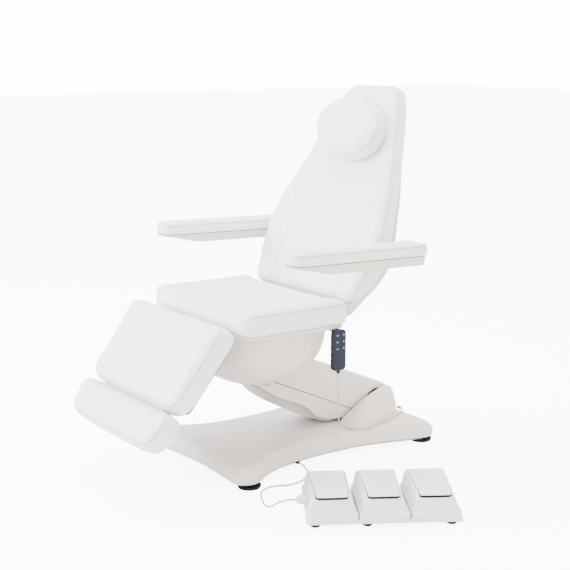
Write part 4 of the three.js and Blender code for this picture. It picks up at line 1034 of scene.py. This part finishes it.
def foot_module(side, x):
    half, y0, y1 = 0.131, -0.099, 0.113
    plinth = slab(f"control_case_{side}", shifted(round_rim([(0.0795, -half, 0.010), (0.0795, half, 0.010), (-0.0795, half, 0.010), (-0.0795, -half, 0.010)], 5), x), 0.012, 0.042)
    round_edges(plinth, at_height(0.042), 0.004, 3)
    round_edges(plinth, at_height(0.012), 0.002, 2)
    nothing_selected()
    bpy.ops.mesh.primitive_circle_add(vertices=12, radius=0.1)
    body = bpy.context.object
    points = []
    for s in (-1.0, 1.0):
        points += [(x + s * 0.075, -half + 0.012, 0.041), (x + s * 0.075, half - 0.008, 0.041), (x + s * 0.0585, y0 + 0.001, 0.079),
                   (x + s * 0.0575, y0 + 0.030, 0.0905), (x + s * 0.0655, y1 + 0.006, 0.0915), (x + s * 0.060, y0 + 0.010, 0.0845)]
    for v, p in zip(body.data.vertices, points):
        v.co = p
    edit(body, "VERT")
    bpy.ops.mesh.select_all(action="SELECT")
    bpy.ops.mesh.convex_hull()
    bpy.ops.mesh.dissolve_limited(angle_limit=math.radians(3.0))
    done()
    round_edges(body, lambda a, b: max(a.z, b.z) > 0.05, 0.0045, 3)
    trim(body, slab("mouth", shifted(plate_plan(-half - 0.01, y1 + 0.0015, 0.0015), x), 0.0795, 0.2))
    trim(body, slab("well", shifted(plate_plan(y0 + 0.018, y1 + 0.0015, 0.0015), x), 0.0705, 0.2))
    trim(plinth, body, "UNION")
    settle(plinth, CONTROL)
    moulding(plinth, f"foot_control_case_{side}", "base", control_shell, 38.0)

    lip = slab(f"control_gasket_{side}", shifted(plate_plan(y0 + 0.0015, y0 + 0.060, -0.001), x), 0.0715, 0.0864)
    settle(lip, CONTROL)
    moulding(lip, None, "base", black_rubber)

    plate = slab(f"pedal_plate_{side}", shifted(plate_plan(y0, y1, 0.0), x), 0.0870, 0.0970)
    for cut_y in (y0 + 0.007, y0 + 0.014, y0 + 0.021, y0 + 0.028):
        edit(plate)
        bpy.ops.mesh.select_all(action="SELECT")
        bpy.ops.mesh.bisect(plane_co=(x, cut_y, 0.0), plane_no=(0.0, 1.0, 0.0))
        done()
    for v in plate.data.vertices:
        droop = (1.0 - smoothstep(0.0, 1.0, (v.co.y - y0) / 0.032)) * 0.007
        v.co.z -= droop * (0.0 if v.co.z < 0.09 else 0.8)
    round_edges(plate, lambda a, b: a.z > 0.0885 and b.z > 0.0885 and not (abs(a.x - b.x) > 0.07 and a.y > y0 + 0.004 and a.y < y1 - 0.004), 0.0022, 3)
    for k in range(9):
        rib_y = y0 + 0.050 + k * 0.017
        rib = slab("rib", shifted(round_rim([(0.040 + 0.0003 * k, rib_y - 0.0022, 0.002), (0.040 + 0.0003 * k, rib_y + 0.0022, 0.002),
                   (-0.040 - 0.0003 * k, rib_y + 0.0022, 0.002), (-0.040 - 0.0003 * k, rib_y - 0.0022, 0.002)], 3), x), 0.0966, 0.0980)
        round_edges(rib, at_height(0.0980), 0.0008, 2)
        merge_in(plate, rib)
    settle(plate, CONTROL)
    moulding(plate, f"foot_pedal_{side}", f"foot_pedal_{side}", control_shell, 38.0)

    fx, r = 0.048 if side == "right" else -0.055, 0.0165
    for end, fy in (("front", -half + 0.016), ("rear", half - 0.018)):
        foot = slab(f"control_foot_{side}_{end}", [(x + fx + r * math.cos(t * math.pi / 12), fy + r * math.sin(t * math.pi / 12)) for t in range(24)], 0.0, 0.0125)
        round_edges(foot, at_height(0.0), 0.005, 4)
        settle(foot, CONTROL)
        moulding(foot, None, "base", black_rubber)


def turned(name, stations, count=28):
    """a turned piece along +X: (x, radius) from end to end"""
    nothing_selected()
    bpy.ops.mesh.primitive_circle_add(vertices=count, radius=1.0, fill_type="NGON")
    obj = bpy.context.object
    obj.name = obj.data.name = name
    for v in obj.data.vertices:
        a, b = v.co.x, v.co.y
        v.co = (stations[0][0], a * stations[0][1], b * stations[0][1])
    for (x0, r0), (x1, r1) in zip(stations, stations[1:]):
        edit(obj)
        done()
        for poly in obj.data.polygons:
            poly.select = abs(poly.center.x - x0) < 1e-6 and len(poly.vertices) == count and (x0 != stations[0][0] or len(obj.data.polygons) == 1 or poly.normal.x * (x1 - x0) > 0)
        bpy.ops.object.mode_set(mode="EDIT")
        bpy.ops.mesh.extrude_region_move(TRANSFORM_OT_translate={"value": (x1 - x0, 0.0, 0.0)})
        done()
        for v in obj.data.vertices:
            if abs(v.co.x - x1) < 1e-6:
                d = math.hypot(v.co.y, v.co.z)
                v.co.y *= r1 / d
                v.co.z *= r1 / d
    edit(obj)
    bpy.ops.mesh.select_all(action="SELECT")
    bpy.ops.mesh.normals_make_consistent(inside=False)
    done()
    return obj


def foot_relief():
    stations = [(-0.0015, 0.016), (-0.004, 0.0175), (-0.010, 0.0175), (-0.0115, 0.0155), (-0.013, 0.0165), (-0.0155, 0.0165), (-0.017, 0.0135),
                (-0.0185, 0.0145), (-0.021, 0.0145), (-0.0225, 0.0105), (-0.024, 0.0115), (-0.027, 0.0105), (-0.030, 0.006)]
    obj = turned("control_relief", [(-0.245 + x, r) for x, r in stations])
    settle(obj, CONTROL @ Matrix.Translation((0.0, -0.034, 0.058)))
    moulding(obj, "foot_control_relief", "base", control_shell, 50.0)


# ---------------------------------------------------------------- screws and the strap tab

def screw(name, place, aim, body, r=0.0038):
    """a countersunk cross-head screw just under the surface, facing aim"""
    obj = slab(name, [(r * math.cos(t * math.pi / 10), r * math.sin(t * math.pi / 10)) for t in range(20)], -0.003, 0.0006)
    round_edges(obj, at_height(0.0006), 0.0006, 2)
    for turn in (0.0, 90.0):
        slot_cut = brick(-r * 0.62, r * 0.62, -r * 0.12, r * 0.12, -0.0006, 0.01)
        settle(slot_cut, Matrix.Rotation(math.radians(turn), 4, "Z"))
        trim(obj, slot_cut)
    facing = Vector(aim).normalized().to_track_quat("Z", "Y").to_matrix().to_4x4()
    settle(obj, Matrix.Translation(place) @ facing)
    moulding(obj, None, body, powder_black)


def fittings():
    screw("front_cover_screw_left", (0.148, -0.4503, 0.040), (0.02, -1.0, 0.0), "base")
    screw("front_cover_screw_right", (-0.148, -0.4503, 0.040), (-0.02, -1.0, 0.0), "base")
    screw("rear_cover_screw_left", (0.2088, 0.040, 0.040), (1.0, 0.0, 0.0), "base")
    screw("rear_cover_screw_right", (-0.2088, 0.040, 0.040), (-1.0, 0.0, 0.0), "base")
    tab = slab("strap_tab", round_rim([(-0.2285, 0.484, 0.001), (-0.2285, 0.511, 0.001), (-0.2385, 0.511, 0.001), (-0.2385, 0.484, 0.001)], 3), -0.016, -0.012)
    settle(tab, BACK)
    moulding(tab, None, "backrest", black_rubber)


seat_cushion()
back_cushion()
head_pillow()
leg_pads()
armrest("left", 0.402)
armrest("right", -0.402)
base_covers()
arm_covers()
shroud()
seat_trim()
back_shell()
handset_and_keys()
for place, side in enumerate(("left", "middle", "right")):
    foot_module(side, (place - 1) * 0.165)
foot_relief()
fittings()

# ---------------------------------------------------------------- finishes of the pieces kept as they are

FINISH = {
    "cover": cover_shell, "belly": belly_shell, "leather": white_leather, "steel": powder_black, "bright": ground_steel,
    "rubber": black_rubber, "handset_case": handset_shell, "keys": key_rubber, "control_grey": control_shell,
    "board": board_ply, "cord": lead_jacket,
}
for part in frame["record"]["subparts"]:
    dress(nodes[part["node"]], FINISH[part["material_slot"]])
for name in ("base_frame", "seat_frame"):
    dress(nodes[name], belly_shell)
dress(nodes["handset_cord_gland"], lead_jacket)


# ---------------------------------------------------------------- floor and light

def for_the_eye(tree, seen, cast):
    """one value where it is looked at directly and another for the light it gives"""
    path = tree.nodes.new("ShaderNodeLightPath")
    return ramp(tree, path.outputs["Is Camera Ray"], 0.0, 1.0, cast, seen)


def room():
    bpy.ops.mesh.primitive_plane_add(size=60.0, location=(0.0, 0.0, 0.0))
    floor = bpy.context.object
    floor.name = "floor"
    mat, tree, shader, where = blank("pale floor", Roughness=0.65, Specular_IOR_Level=0.1, Emission_Color=(1.0, 1.0, 1.0, 1.0))
    tone = noise(tree, where, 1.5, 2.0)
    tree.links.new(blend_color(tree, tone, (0.93, 0.93, 0.93), (0.96, 0.96, 0.96)), shader.inputs["Base Color"])
    tree.links.new(for_the_eye(tree, 7.0, 0.0), shader.inputs["Emission Strength"])
    dress(floor, mat)
    world = bpy.data.worlds.new("studio")
    scene.world = world
    world.use_nodes = True
    sky = world.node_tree.nodes["Background"]
    tree = world.node_tree
    tree.links.new(for_the_eye(tree, 15.0, 3.5), sky.inputs["Strength"])
    tree.links.new(blend_color(tree, for_the_eye(tree, 1.0, 0.0), (1.0, 0.972, 0.92), (1.0, 1.0, 1.0)), sky.inputs["Color"])

    def lamp(name, place, aim, size, power, color):
        data = bpy.data.lights.new(name, "AREA")
        data.shape = "RECTANGLE"
        data.size, data.size_y = size
        data.energy = power
        data.color = color
        obj = bpy.data.objects.new(name, data)
        scene.collection.objects.link(obj)
        obj.location = place
        obj.rotation_mode = "QUATERNION"
        obj.rotation_quaternion = (Vector(aim) - Vector(place)).to_track_quat("-Z", "Y")
    lamp("overhead", (-0.4, 0.3, 3.8), (0.0, 0.0, 0.5), (2.6, 2.6), 230.0, (1.0, 0.99, 0.97))
    lamp("window", (-2.6, -3.4, 2.2), (0.0, 0.0, 0.6), (2.2, 2.2), 520.0, (0.78, 0.89, 1.0))


room()
